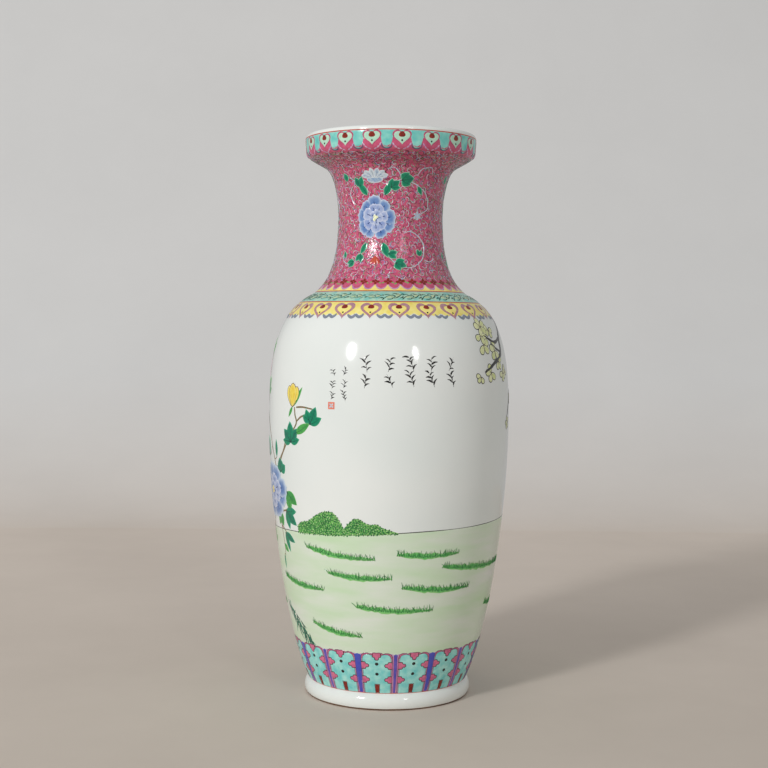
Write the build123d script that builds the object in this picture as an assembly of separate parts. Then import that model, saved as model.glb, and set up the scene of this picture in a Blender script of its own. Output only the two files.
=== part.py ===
from build123d import *
import os
from math import cos, radians, sin, tan

# A tall baluster floor vase in painted porcelain, standing on a turned foot ring.
#
# It is built as a potter builds it: a foot ring, a floor slab, two thrown body
# sections, a waisted neck and a dished mouth collar, stacked and stuck together
# with rings of slip. Raised overglaze enamel coats lie on the outside of the walls.
#
# Millimetres. Z is the turning axis, and Z = 0 is the plane the foot ring stands on.
# Every outline is drawn in the XZ plane, where X is the radius, and turned round Z.
# Angles are in degrees outwards from straight up, and a reach is how far a curve
# follows its end tangent before it bends away.

# ---- foot and floor ----
foot_ring_height = 8.0
floor_thickness = 8.0
foot_waist_radius = 86.8      # where the body meets the rounded foot
foot_bulge = 4.4              # how far the foot stands out beyond that waist
foot_contact_inset = 2.8      # the contact ring's outer edge, in from the bulge
foot_contact_width = 8.0
foot_inner_draft = 1.5        # how far the hollow under the floor narrows upwards

# ---- body ----
lower_body_height = 284.5     # foot waist up to the widest point
belly_radius = 131.5
upper_body_height = 133.5     # widest point up to the steepest part of the shoulder
shoulder_radius = 87.4
neck_lower_height = 85.5      # shoulder up to the narrowest point of the neck
neck_radius = 56.8
neck_upper_height = 52.4      # narrowest point up to the mouth collar
neck_top_radius = 69.2

foot_flare_angle = 25.3
foot_flare_reach = 61.0
belly_reach_down = 97.0
belly_reach_up = 62.5
shoulder_angle = -61.7
shoulder_reach_down = 44.6
shoulder_reach_up = 25.6
waist_reach_down = 41.8
waist_reach_up = 18.0
neck_flare_angle = 45.0
neck_flare_reach = 13.0

# ---- mouth collar ----
collar_height = 15.6          # flared underside of the collar
collar_radius = 91.8          # at the bottom of the upright band
collar_reach_down = 6.0
collar_reach_up = 4.5
band_height = 16.8            # upright band round the rim
band_lean = 4.0               # how far the band leans out, in degrees
lip_height = 4.2              # rounded lip above the band
lip_width = 7.0
dish_reach_down = 10.0        # the two ends of the dished inside of the mouth
dish_reach_up = 14.0

# ---- walls, joints and coats ----
body_wall = 7.0
slip_thickness = 1.5          # a luting ring between two sections
bead_radius = 2.2             # slip squeezed out on the inside of a joint
enamel = 0.5                  # thickness of a raised enamel coat
line_width = 1.6              # the red enamel line under the lip
line_lap = 0.4                # how far the red foot line laps past the slip joint under it

# ---- enamel bands, stacked upwards from the foot and from the shoulder ----
lappet_height = 44.0          # upright panels above the foot
meadow_height = 127.0         # green wash above the panels
turquoise_above = 3.5         # top of the turquoise band above the shoulder joint
turquoise_height = 11.0
shoulder_yellow_height = 14.5
yellow_line_height = 4.0

stations = 15                 # points on each offset curve

# ---- heights worked out from the sizes above ----
z_floor_bottom = foot_ring_height + slip_thickness
z_foot = z_floor_bottom + floor_thickness
z_belly = z_foot + lower_body_height
z_shoulder = z_belly + upper_body_height
z_waist = z_shoulder + neck_lower_height
z_collar = z_waist + neck_upper_height
z_band = z_collar + collar_height
z_lip = z_band + band_height
z_top = z_lip + lip_height

foot_bulge_radius = foot_waist_radius + foot_bulge
contact_radius = foot_bulge_radius - foot_contact_inset
hollow_radius = contact_radius - foot_contact_width
band_top_radius = collar_radius + band_height * tan(radians(band_lean))


def point(radius, height):
    return Vector(radius, 0, height)


def step(angle, reach):
    """A step of the given reach along an angle."""
    return Vector(reach * sin(radians(angle)), 0, reach * cos(radians(angle)))


def bend(start, start_step, end, end_step):
    """A cubic curve that leaves start along start_step and reaches end along end_step."""
    return Edge.make_bezier(start, start + start_step, end - end_step, end)


def body_curves():
    """The outside of the body and neck, from the foot waist up to the mouth collar."""
    foot = point(foot_waist_radius, z_foot)
    belly = point(belly_radius, z_belly)
    shoulder = point(shoulder_radius, z_shoulder)
    waist = point(neck_radius, z_waist)
    neck_top = point(neck_top_radius, z_collar)
    return [
        bend(foot, step(foot_flare_angle, foot_flare_reach), belly, step(0, belly_reach_down)),
        bend(belly, step(0, belly_reach_up), shoulder, step(shoulder_angle, shoulder_reach_down)),
        bend(shoulder, step(shoulder_angle, shoulder_reach_up), waist, step(0, waist_reach_down)),
        bend(waist, step(0, waist_reach_up), neck_top, step(neck_flare_angle, neck_flare_reach)),
    ]


def collar_curves():
    """The flared underside of the collar and the upright band above it."""
    neck_top = point(neck_top_radius, z_collar)
    band_bottom = point(collar_radius, z_band)
    band_top = point(band_top_radius, z_lip)
    flare = step(neck_flare_angle, collar_reach_down)
    return [
        bend(neck_top, flare, band_bottom, step(band_lean, collar_reach_up)),
        Edge.make_line(band_bottom, band_top),
    ]


def shifted(curve, distance):
    """A curve that keeps a distance outside another, or inside it when negative."""
    places = []
    for index in range(stations):
        share = index / (stations - 1)
        tangent = curve.tangent_at(share)
        outwards = Vector(tangent.Z, 0, -tangent.X)
        places.append(curve.position_at(share) + outwards * distance)
    return Edge.make_spline(places, tangents=[curve.tangent_at(0), curve.tangent_at(1)])


def lip_curves(inside):
    """The rounded lip, over the top of the wall from the band to the inside."""
    outside = point(band_top_radius, z_lip)
    crest = point(band_top_radius - lip_width / 2, z_top)
    round_up = 0.55 * lip_height
    round_in = 0.55 * lip_width / 2
    return [
        bend(outside, step(band_lean, round_up), crest, step(-90, round_in)),
        bend(crest, step(-90, round_in), inside, step(180, round_up)),
    ]


def whole_vase():
    """All the porcelain and slip as one turned solid, before it is cut into sections."""
    outer_body = body_curves()
    inner_body = [shifted(curve, -body_wall) for curve in outer_body]
    inner_foot = inner_body[0].position_at(0)
    inner_neck = inner_body[-1].position_at(1)
    inside_lip = point(band_top_radius - lip_width, z_lip)

    contact_outer = point(contact_radius, 0)
    contact_inner = point(hollow_radius, 0)
    bulge = point(foot_bulge_radius, foot_ring_height)
    waist = point(foot_waist_radius, z_foot)
    hollow_top = point(hollow_radius - foot_inner_draft, z_floor_bottom)
    floor_corner = point(inner_foot.X, z_foot)
    floor_middle = point(0, z_foot)
    hollow_middle = point(0, z_floor_bottom)

    dish = bend(
        inner_neck, step(neck_flare_angle, dish_reach_down), inside_lip, step(0, dish_reach_up)
    )
    foot_and_floor = [
        Edge.make_three_point_arc(contact_outer, bulge, waist),
        Edge.make_line(inner_foot, floor_corner),
        Edge.make_line(floor_corner, floor_middle),
        Edge.make_line(floor_middle, hollow_middle),
        Edge.make_line(hollow_middle, hollow_top),
        Edge.make_line(hollow_top, contact_inner),
        Edge.make_line(contact_inner, contact_outer),
    ]
    walls = outer_body + collar_curves() + lip_curves(inside_lip) + [dish] + inner_body
    return revolve(make_face(Wire(foot_and_floor + walls)), axis=Axis.Z)


def whole_coat():
    """A skin of enamel over the whole outside, before it is cut into bands."""
    inner = body_curves() + collar_curves()
    outer = [shifted(curve, enamel) for curve in inner]
    ends = [
        Edge.make_line(inner[0].position_at(0), outer[0].position_at(0)),
        Edge.make_line(inner[-1].position_at(1), outer[-1].position_at(1)),
    ]
    return revolve(make_face(Wire(inner + outer + ends)), axis=Axis.Z)


def between(solid, bottom, top):
    """The slice of a turned solid between two heights."""
    reach = 2 * max(belly_radius, collar_radius, foot_bulge_radius)
    slab = Pos(0, 0, bottom) * extrude(Circle(reach), amount=top - bottom)
    return (solid & slab).solid()


def luting(vase, bottom):
    """A ring of slip through the wall, with the bead that it leaves inside the joint."""
    ring = between(vase, bottom, bottom + slip_thickness)
    inner_radius = min(Vector(corner.X, corner.Y).length for corner in ring.vertices())
    middle = Pos(inner_radius, bottom + slip_thickness / 2)
    bead = revolve(Plane.XZ * middle * Circle(bead_radius), axis=Axis.Z)
    return (ring + (bead - vase)).solid()


def porcelain_parts():
    """The sections from the foot up, with the slip that joins each to the next."""
    vase = whole_vase()
    joints = {
        "foot_luting": foot_ring_height,
        "base_luting": z_foot,
        "belly_luting": z_belly,
        "shoulder_luting": z_shoulder,
        "collar_luting": z_collar,
    }
    sections = ["foot_ring", "floor_slab", "lower_body", "upper_body", "neck", "mouth_collar"]
    bottoms = [0] + [height + slip_thickness for height in joints.values()]
    tops = list(joints.values()) + [z_top]
    parts = {name: between(vase, low, high) for name, low, high in zip(sections, bottoms, tops)}
    parts |= {name: luting(vase, height) for name, height in joints.items()}
    return parts


def enamel_parts():
    """The painted coats, each a thin band on the outside of the wall."""
    coat = whole_coat()
    z_lappets = z_foot + slip_thickness + line_lap
    z_meadow = z_lappets + lappet_height
    z_turquoise_top = z_shoulder + turquoise_above
    z_turquoise = z_turquoise_top - turquoise_height
    z_neck_rose = z_turquoise_top + yellow_line_height
    bands = {
        "foot_line_enamel": (z_foot, z_lappets),
        "lappet_band_enamel": (z_lappets, z_meadow),
        "meadow_enamel": (z_meadow, z_meadow + meadow_height),
        "shoulder_yellow_enamel": (z_turquoise - shoulder_yellow_height, z_turquoise),
        "shoulder_turquoise_enamel": (z_turquoise, z_turquoise_top),
        "yellow_line_enamel": (z_turquoise_top, z_neck_rose),
        "neck_rose_enamel": (z_neck_rose, z_collar),
        "collar_rose_enamel": (z_collar, z_band),
        "mouth_band_enamel": (z_band, z_lip - line_width),
        "lip_line_enamel": (z_lip - line_width, z_lip),
    }
    return {name: between(coat, low, high) for name, (low, high) in bands.items()}


os.makedirs("parts", exist_ok=True)
for name, solid in (porcelain_parts() | enamel_parts()).items():
    export_step(solid, f"parts/{name}.step")
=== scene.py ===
from math import cos, pi, radians, sin, sqrt, tan
from random import Random

import bmesh
import bpy
import numpy as np
from mathutils import Matrix, Vector
from mathutils.geometry import delaunay_2d_cdt


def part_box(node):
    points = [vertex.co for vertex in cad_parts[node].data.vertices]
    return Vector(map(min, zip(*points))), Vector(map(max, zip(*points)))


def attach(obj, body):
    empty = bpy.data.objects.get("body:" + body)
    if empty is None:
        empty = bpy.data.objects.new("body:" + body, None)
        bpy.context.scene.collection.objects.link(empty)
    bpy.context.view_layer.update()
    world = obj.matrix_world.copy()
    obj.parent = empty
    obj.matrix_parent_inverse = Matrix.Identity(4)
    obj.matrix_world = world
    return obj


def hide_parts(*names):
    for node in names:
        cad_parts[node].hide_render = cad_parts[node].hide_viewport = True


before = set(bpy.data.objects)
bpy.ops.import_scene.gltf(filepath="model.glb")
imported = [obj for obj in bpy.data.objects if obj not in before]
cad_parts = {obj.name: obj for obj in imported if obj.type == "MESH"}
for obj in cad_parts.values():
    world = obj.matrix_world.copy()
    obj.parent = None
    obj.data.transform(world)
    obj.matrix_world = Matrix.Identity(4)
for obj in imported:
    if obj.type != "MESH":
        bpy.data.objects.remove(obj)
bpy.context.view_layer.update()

# Sizes are in mm until a mesh is made.
# Angles round the vase are degrees from the front, positive to the right.
mm = 0.001

cameraSetup = {
    "distance": 1522.1,     # in front of the turning axis
    "height": 403.7,
    "aside": -5.7,          # it stands a little to the left of the axis
    "pitch": 2.433,         # degrees down
    "roll": 0.41,
    "lens": 64.8,
}


def addCamera(setup):
    data = bpy.data.cameras.new("studioCamera")
    data.lens = setup["lens"]
    data.sensor_width = 36
    data.clip_start, data.clip_end = 0.05, 50
    camera = bpy.data.objects.new("studioCamera", data)
    bpy.context.scene.collection.objects.link(camera)
    camera.location = (setup["aside"] * mm, -setup["distance"] * mm, setup["height"] * mm)
    tilt = Matrix.Rotation(radians(90 - setup["pitch"]), 3, "X")
    camera.rotation_euler = (tilt @ Matrix.Rotation(radians(setup["roll"]), 3, "Z")).to_euler()
    bpy.context.scene.camera = camera


addCamera(cameraSetup)

# Knots of the outside, from the foot waist up: radius, the way the wall leans in degrees
# outwards from straight up, and how far the curve follows that lean below and above.
wallKnots = {
    "footWaist": {"radius": 86.8, "lean": 25.3, "below": 0.0, "above": 61.0},
    "belly": {"radius": 131.5, "lean": 0.0, "below": 97.0, "above": 62.5},
    "shoulder": {"radius": 87.4, "lean": -61.7, "below": 44.6, "above": 25.6},
    "neckWaist": {"radius": 56.8, "lean": 0.0, "below": 41.8, "above": 18.0},
    "neckTop": {"radius": 69.2, "lean": 45.0, "below": 13.0, "above": 6.0},
    "bandBottom": {"radius": 91.8, "lean": 4.0, "below": 4.5, "above": 5.0},
}
wallSizes = {
    "neckLower": 85.5,        # shoulder to the narrowest point of the neck
    "wall": 7.0,
    "lipWidth": 7.0,
    "dishBelow": 10.0,        # how far the inside of the mouth follows the lean at its two ends
    "dishAbove": 14.0,
    "footBulge": 4.4,
    "contactInset": 2.8,
    "contactWidth": 8.0,
    "hollowDraft": 1.5,
}


def topOf(node):
    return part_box(node)[1].z / mm


heights = {
    "footWaist": topOf("floor_slab"),
    "belly": topOf("lower_body"),
    "shoulder": topOf("upper_body"),
    "neckWaist": topOf("upper_body") + wallSizes["neckLower"],
    "neckTop": topOf("neck"),
    "bandBottom": topOf("collar_rose_enamel"),
    "bandTop": topOf("lip_line_enamel"),
    "lipTop": topOf("mouth_collar"),
}


def bend(start, startStep, end, endStep, count):
    start, end = np.array(start, float), np.array(end, float)
    first, last = start + startStep, end - endStep
    t = np.linspace(0, 1, count)[:, None]
    return (1 - t) ** 3 * start + 3 * (1 - t) ** 2 * t * first + 3 * (1 - t) * t ** 2 * last + t ** 3 * end


def leanStep(lean, reach):
    return np.array([sin(radians(lean)), cos(radians(lean))]) * reach


def joined(*lines):
    return np.vstack([lines[0]] + [line[1:] for line in lines[1:]])


def outsideOf(line, distance):
    ahead = np.gradient(line, axis=0)
    ahead /= np.linalg.norm(ahead, axis=1)[:, None]
    return line + np.column_stack([ahead[:, 1], -ahead[:, 0]]) * distance


def wallLine():
    names = list(wallKnots)
    counts = [111, 61, 45, 31, 25]      # points between each knot and the next
    lines = []
    for low, high, count in zip(names, names[1:], counts):
        a, b = wallKnots[low], wallKnots[high]
        lines.append(bend((a["radius"], heights[low]), leanStep(a["lean"], a["above"]),
                          (b["radius"], heights[high]), leanStep(b["lean"], b["below"]), count))
    band = wallKnots["bandBottom"]
    bandHeight = heights["bandTop"] - heights["bandBottom"]
    bandTop = (band["radius"] + bandHeight * tan(radians(band["lean"])), heights["bandTop"])
    lines.append(np.linspace((band["radius"], heights["bandBottom"]), bandTop, 8))
    return joined(*lines)


wall = wallLine()                                   # radius, height
wallRun = np.concatenate([[0], np.cumsum(np.linalg.norm(np.diff(wall, axis=0), axis=1))])


def runAt(height):          # distance along the wall from the foot waist
    return float(np.interp(height, wall[:, 1], wallRun))


def radiusAt(run):
    return float(np.interp(run, wallRun, wall[:, 0]))


def footArc(low, middle, high, count):     # the arc through three spots
    low, middle, high = (np.array(spot, float) for spot in (low, middle, high))
    sides = np.array([middle - low, high - low])
    centre = low + np.linalg.solve(2 * sides, (sides ** 2).sum(axis=1))
    start, end = (np.arctan2(*(spot - centre)[::-1]) for spot in (low, high))
    turn = np.linspace(start, end, count)
    return centre + np.linalg.norm(low - centre) * np.column_stack([np.cos(turn), np.sin(turn)])


def wholeOutline():
    s = wallSizes
    bulge = wallKnots["footWaist"]["radius"] + s["footBulge"]
    ringTop = topOf("foot_ring")
    contact = bulge - s["contactInset"]
    foot = footArc((contact, 0), (bulge, ringTop), tuple(wall[0]), 25)
    lipHeight = heights["lipTop"] - heights["bandTop"]
    crest = (wall[-1][0] - s["lipWidth"] / 2, heights["lipTop"])
    lean = wallKnots["bandBottom"]["lean"]
    inLip = (wall[-1][0] - s["lipWidth"], heights["bandTop"])
    roundUp, roundIn = 0.55 * lipHeight, 0.55 * s["lipWidth"] / 2
    lipOut = bend(wall[-1], leanStep(lean, roundUp), crest, leanStep(-90, roundIn), 10)
    lipIn = bend(inLip, leanStep(0, roundUp), crest, leanStep(90, roundIn), 10)
    knotEnd = 1 + int(np.searchsorted(wall[:, 1], heights["neckTop"] - 0.001))
    inner = outsideOf(wall[:knotEnd], -s["wall"])
    neckLean = wallKnots["neckTop"]["lean"]
    dish = bend(inner[-1], leanStep(neckLean, s["dishBelow"]), inLip, leanStep(0, s["dishAbove"]), 27)
    corner = (inner[0][0], heights["footWaist"])
    outerLine = joined(foot, wall, lipOut)
    innerLine = joined(np.array([corner, inner[0]]), inner, dish, lipIn)
    hollow = np.array([(contact - s["contactWidth"], 0),
                       (contact - s["contactWidth"] - s["hollowDraft"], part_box("floor_slab")[0].z / mm)])
    return outerLine, innerLine, hollow


outerLine, innerLine, hollowLine = wholeOutline()
cadRadius = (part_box("lower_body")[1].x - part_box("lower_body")[0].x) / 2 / mm
print("outline made, belly radius", round(float(wall[:, 0].max()), 2), "against the frame's",
      round(cadRadius, 2))


def clipped(line, low, high):
    step = 0.12               # a close row beside each cut keeps the shading true across it
    inside = line[(line[:, 1] > low + 2 * step) & (line[:, 1] < high - 2 * step)]
    ends = [low, low + step, high - step, high]
    rows = [(float(np.interp(z, line[:, 1], line[:, 0])), z) for z in ends]
    return np.array(rows[:2] + [tuple(point) for point in inside] + rows[2:])


def setSocket(tree, socket, value):         # value is a number, a colour, or another node's output
    if isinstance(value, bpy.types.NodeSocket):
        tree.links.new(value, socket)
    else:
        socket.default_value = value


def addNode(tree, kind, inputs=None, **settings):
    node = tree.nodes.new(kind)
    for name, value in settings.items():
        setattr(node, name, value)
    for key, value in (inputs or {}).items():
        setSocket(tree, node.inputs[key], value)
    return node


def calc(tree, operation, first, second=0.0):
    return addNode(tree, "ShaderNodeMath", {0: first, 1: second}, operation=operation).outputs[0]


def spotOf(tree, x=0.0, y=0.0, z=0.0):
    return addNode(tree, "ShaderNodeCombineXYZ", {0: x, 1: y, 2: z}).outputs[0]


def axesOf(tree, spot):
    return addNode(tree, "ShaderNodeSeparateXYZ", {0: spot}).outputs


def madeReal(tree, geometry):
    return addNode(tree, "GeometryNodeRealizeInstances", {"Geometry": geometry}).outputs[0]


def movedTo(tree, geometry, spot, socket="Position"):
    return addNode(tree, "GeometryNodeSetPosition", {"Geometry": geometry, socket: spot}).outputs[0]


def mergedMesh(tree, geometry):             # the seam and the poles are closed
    given = {"Geometry": geometry, "Distance": 0.004 * mm}
    return addNode(tree, "GeometryNodeMergeByDistance", given).outputs[0]


# A spot round Z: its distance from the axis, its angle in radians from the front, and its height.
def roundAxis(tree, radius, angle, height):
    forward = calc(tree, "MULTIPLY", calc(tree, "COSINE", angle), -1)
    return spotOf(tree, calc(tree, "MULTIPLY", radius, calc(tree, "SINE", angle)),
                  calc(tree, "MULTIPLY", radius, forward), height)


def randomBetween(tree, low, high, seed):        # the plain-number sockets have their own identifiers
    node = addNode(tree, "FunctionNodeRandomValue", data_type="FLOAT")
    sockets = {item.identifier: item for item in node.inputs}
    for key, value in (("Min_001", low), ("Max_001", high), ("Seed", seed)):
        setSocket(tree, sockets[key], value)
    return node.outputs[1]


def startTree(name, sockets):
    tree = bpy.data.node_groups.new(name, "GeometryNodeTree")
    tree.interface.new_socket("Geometry", in_out="INPUT", socket_type="NodeSocketGeometry")
    for label, (kind, value) in sockets.items():
        item = tree.interface.new_socket(label, in_out="INPUT", socket_type="NodeSocket" + kind)
        if value is not None:
            item.default_value = value
    tree.interface.new_socket("Geometry", in_out="OUTPUT", socket_type="NodeSocketGeometry")
    return tree, addNode(tree, "NodeGroupInput").outputs, addNode(tree, "NodeGroupOutput").inputs


def finishTree(tree, geometry, material, out):
    given = {"Geometry": madeReal(tree, geometry), "Material": material}
    painted = addNode(tree, "GeometryNodeSetMaterial", given)
    tree.links.new(painted.outputs[0], out[0])


def growFrom(source, tree, values, name):
    modifier = source.modifiers.new(tree.name, "NODES")
    modifier.node_group = tree
    for item in tree.interface.items_tree:
        if item.in_out == "INPUT" and item.name in values:
            modifier[item.identifier] = values[item.name]
    graph = bpy.context.evaluated_depsgraph_get()
    mesh = bpy.data.meshes.new_from_object(source.evaluated_get(graph), depsgraph=graph)
    source.modifiers.remove(modifier)
    mesh.name = name
    piece = bpy.data.objects.new(name, mesh)
    bpy.context.scene.collection.objects.link(piece)
    return piece


def discard(*objects):
    for item in objects:
        mesh = item.data
        bpy.data.objects.remove(item)
        bpy.data.meshes.remove(mesh)


def meshObject(name, points, edges=(), faces=(), values=None):
    mesh = bpy.data.meshes.new(name)
    mesh.from_pydata([tuple(point) for point in points], list(edges), list(faces))
    for label, numbers in (values or {}).items():
        mesh.attributes.new(label, "FLOAT", "POINT").data.foreach_set("value", np.array(numbers, np.float32))
    item = bpy.data.objects.new(name, mesh)
    bpy.context.scene.collection.objects.link(item)
    return item


def chainObject(name, points, values=None):
    return meshObject(name, points, [(i, i + 1) for i in range(len(points) - 1)], values=values)


wallGuide = chainObject("wallGuide", [(r * mm, 0, z * mm) for r, z in wall])


# Turns a chain of points (radius on X, height on Z) round Z. The chain's runUp is its share of the way along.
def makeTurnTree():
    tree, given, out = startTree("turnedWall", {"Steps": ("Int", 256), "Material": ("Material", None)})
    size = addNode(tree, "GeometryNodeAttributeDomainSize", {"Geometry": given["Geometry"]})
    rows = size.outputs["Point Count"]
    columns = calc(tree, "ADD", given["Steps"], 1)
    grid = addNode(tree, "GeometryNodeMeshGrid",
                   {"Size X": 1.0, "Size Y": 1.0, "Vertices X": columns, "Vertices Y": rows}).outputs[0]
    place = addNode(tree, "GeometryNodeInputPosition").outputs[0]
    across = axesOf(tree, place)
    share = calc(tree, "ADD", across[0], 0.5)
    lastRow = calc(tree, "SUBTRACT", rows, 1)
    row = calc(tree, "ROUND", calc(tree, "MULTIPLY", calc(tree, "ADD", across[1], 0.5), lastRow))
    sample = {"Geometry": given["Geometry"], "Index": row}
    point = addNode(tree, "GeometryNodeSampleIndex", data_type="FLOAT_VECTOR", domain="POINT")
    run = addNode(tree, "GeometryNodeSampleIndex", data_type="FLOAT", domain="POINT")
    named = addNode(tree, "GeometryNodeInputNamedAttribute", {"Name": "runUp"}, data_type="FLOAT").outputs[0]
    for node, value in ((point, place), (run, named)):
        for key, socket in {**sample, "Value": value}.items():
            setSocket(tree, node.inputs[key], socket)
    radius, _, height = axesOf(tree, point.outputs[0])
    angle = calc(tree, "MULTIPLY", across[0], 2 * pi)
    bakeMap = {"Geometry": grid, "Name": "OFBake", "Value": spotOf(tree, share, run.outputs[0])}
    mapped = addNode(tree, "GeometryNodeStoreNamedAttribute", bakeMap, data_type="FLOAT2", domain="CORNER")
    turned = movedTo(tree, mapped.outputs[0], roundAxis(tree, radius, angle, height))
    finishTree(tree, mergedMesh(tree, turned), given["Material"], out)
    return tree


# Lays flat work on the wall: X along the girth, Y along the wall from the foot waist, Z off the surface.
def addWrap(tree, geometry, guide, girth):
    flat = axesOf(tree, addNode(tree, "GeometryNodeInputPosition").outputs[0])
    chain = addNode(tree, "GeometryNodeObjectInfo", {"Object": guide}).outputs["Geometry"]
    line = addNode(tree, "GeometryNodeMeshToCurve", {"Mesh": chain}).outputs[0]
    sample = addNode(tree, "GeometryNodeSampleCurve", {"Curves": line, "Length": flat[1]},
                     mode="LENGTH", use_all_curves=False)
    spot = axesOf(tree, sample.outputs["Position"])
    ahead = axesOf(tree, sample.outputs["Tangent"])
    radius = calc(tree, "ADD", spot[0], calc(tree, "MULTIPLY", flat[2], ahead[2]))
    height = calc(tree, "SUBTRACT", spot[2], calc(tree, "MULTIPLY", flat[2], ahead[0]))
    return movedTo(tree, geometry, roundAxis(tree, radius, calc(tree, "DIVIDE", flat[0], girth), height))


wrapSockets = {"Wall": ("Object", None), "Girth": ("Float", 0.1), "Material": ("Material", None)}


def makeWrapTree():
    tree, given, out = startTree("laidOnWall", wrapSockets)
    laid = addWrap(tree, madeReal(tree, given["Geometry"]), given["Wall"], given["Girth"])
    finishTree(tree, mergedMesh(tree, laid), given["Material"], out)
    return tree


# The same painted mark, set out at even steps round the vase in one row.
def makeRingTree():
    tree, given, out = startTree("ringOfMarks", {
        **wrapSockets, "Count": ("Int", 16), "Rise": ("Float", 0.0), "Turn": ("Float", 0.0),
        "Wander": ("Float", 0.0), "Wander Turn": ("Float", 0.0), "Size Spread": ("Float", 0.04),
        "Lean": ("Float", 0.03), "Seed": ("Int", 1)})
    row = addNode(tree, "GeometryNodeMeshLine", {"Count": given["Count"], "Offset": (0, 0, 0)}).outputs[0]
    step = calc(tree, "DIVIDE", 2 * pi, given["Count"])
    index = addNode(tree, "GeometryNodeInputIndex").outputs[0]
    angle = calc(tree, "ADD", calc(tree, "MULTIPLY", index, step), given["Turn"])
    wave = calc(tree, "SINE", calc(tree, "ADD", calc(tree, "MULTIPLY", angle, 2), given["Wander Turn"]))
    moved = calc(tree, "ADD", angle, calc(tree, "MULTIPLY", wave, given["Wander"]))
    placed = movedTo(tree, row, spotOf(tree, calc(tree, "MULTIPLY", moved, given["Girth"]), given["Rise"]))
    back = calc(tree, "MULTIPLY", given["Lean"], -1)
    lean = randomBetween(tree, back, given["Lean"], given["Seed"])
    smallest = calc(tree, "SUBTRACT", 1, given["Size Spread"])
    largest = calc(tree, "ADD", 1, given["Size Spread"])
    size = randomBetween(tree, smallest, largest, given["Seed"])
    marks = addNode(tree, "GeometryNodeInstanceOnPoints", {
        "Points": placed, "Instance": given["Geometry"], "Rotation": spotOf(tree, z=lean), "Scale": size})
    laid = addWrap(tree, madeReal(tree, marks.outputs[0]), given["Wall"], given["Girth"])
    finishTree(tree, laid, given["Material"], out)
    return tree


markSockets = {"Marks": ("Collection", None), "Smallest": ("Float", 0.8), "Largest": ("Float", 1.2),
               "Lean": ("Float", pi), "Lift": ("Float", 0.0), "Seed": ("Int", 1)}


def addMarks(tree, points, given):
    shapes = {"Collection": given["Marks"], "Separate Children": True, "Reset Children": True}
    marks = addNode(tree, "GeometryNodeCollectionInfo", shapes).outputs[0]
    lean = randomBetween(tree, calc(tree, "MULTIPLY", given["Lean"], -1), given["Lean"], given["Seed"])
    size = randomBetween(tree, given["Smallest"], given["Largest"], calc(tree, "ADD", given["Seed"], 7))
    lifted = movedTo(tree, points, spotOf(tree, z=given["Lift"]), "Offset")
    placed = addNode(tree, "GeometryNodeInstanceOnPoints", {
        "Points": lifted, "Instance": marks, "Pick Instance": True,
        "Rotation": spotOf(tree, z=lean), "Scale": size})
    return addWrap(tree, madeReal(tree, placed.outputs[0]), given["Wall"], given["Girth"])


# Marks dotted over a flat sheet, no two nearer than Gap.
def makeScatterTree():
    tree, given, out = startTree("dottedMarks", {**wrapSockets, **markSockets, "Gap": ("Float", 0.004)})
    most = calc(tree, "DIVIDE", 4, calc(tree, "POWER", given["Gap"], 2))
    points = addNode(tree, "GeometryNodeDistributePointsOnFaces", {
        "Mesh": given["Geometry"], "Distance Min": given["Gap"], "Density Max": most, "Seed": given["Seed"],
    }, distribute_method="POISSON").outputs[0]
    finishTree(tree, addMarks(tree, points, given), given["Material"], out)
    return tree


# Marks standing side by side along drawn lines, Gap apart.
def makeRowTree():
    tree, given, out = startTree("marksAlongLine", {**wrapSockets, **markSockets, "Gap": ("Float", 0.001)})
    line = addNode(tree, "GeometryNodeMeshToCurve", {"Mesh": given["Geometry"]}).outputs[0]
    spaced = {"Curve": line, "Length": given["Gap"]}
    points = addNode(tree, "GeometryNodeCurveToPoints", spaced, mode="LENGTH").outputs[0]
    finishTree(tree, addMarks(tree, points, given), given["Material"], out)
    return tree


turnTree = makeTurnTree()
wrapTree = makeWrapTree()
ringTree = makeRingTree()
scatterTree = makeScatterTree()
rowTree = makeRowTree()


def closeUp(piece, sharpAngle=40):
    shape = bmesh.new()
    shape.from_mesh(piece.data)
    bmesh.ops.recalc_face_normals(shape, faces=shape.faces)
    shape.to_mesh(piece.data)
    shape.free()
    piece.data.shade_smooth()
    piece.data.set_sharp_from_angle(angle=radians(sharpAngle))


def placePiece(piece, slotName, *nodes):
    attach(piece, "root")
    if nodes:
        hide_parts(*nodes)


def turnPiece(name, chain, material, slotName, *nodes):
    run = np.concatenate([[0], np.cumsum(np.linalg.norm(np.diff(chain, axis=0), axis=1))])
    source = chainObject("chain", [(r * mm, 0, z * mm) for r, z in chain], {"runUp": run / run[-1]})
    piece = growFrom(source, turnTree, {"Steps": 256, "Material": material}, name)
    discard(source)
    closeUp(piece)
    placePiece(piece, slotName, *nodes)


# Flat work: a sheet is drawn in mm, X along the girth, Y up the wall and Z off it, then laid on the vase.
def newSheet():
    return {"points": [], "faces": [], "rim": [], "tone": []}


def addShape(sheet, points, faces, rim, tone):
    first = len(sheet["points"])
    sheet["points"] += [tuple(point) for point in points]
    sheet["faces"] += [tuple(first + corner for corner in face) for face in faces]
    sheet["rim"] += list(rim)
    sheet["tone"] += [tone] * len(points)


def smoothLine(points, steps=5, closed=False):
    p = np.array(points, float)
    p = np.vstack([p[-1:], p, p[:2]]) if closed else np.vstack([2 * p[0] - p[1], p, 2 * p[-1] - p[-2]])
    t = np.linspace(0, 1, steps, endpoint=False)[:, None]
    parts = []
    for a, b, c, d in zip(p, p[1:], p[2:], p[3:]):
        bend, twist = 2 * a - 5 * b + 4 * c - d, 3 * b - a - 3 * c + d
        parts.append(0.5 * (2 * b + (c - a) * t + bend * t ** 2 + twist * t ** 3))
    line = np.vstack(parts)
    return line if closed else np.vstack([line, p[-2]])


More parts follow.
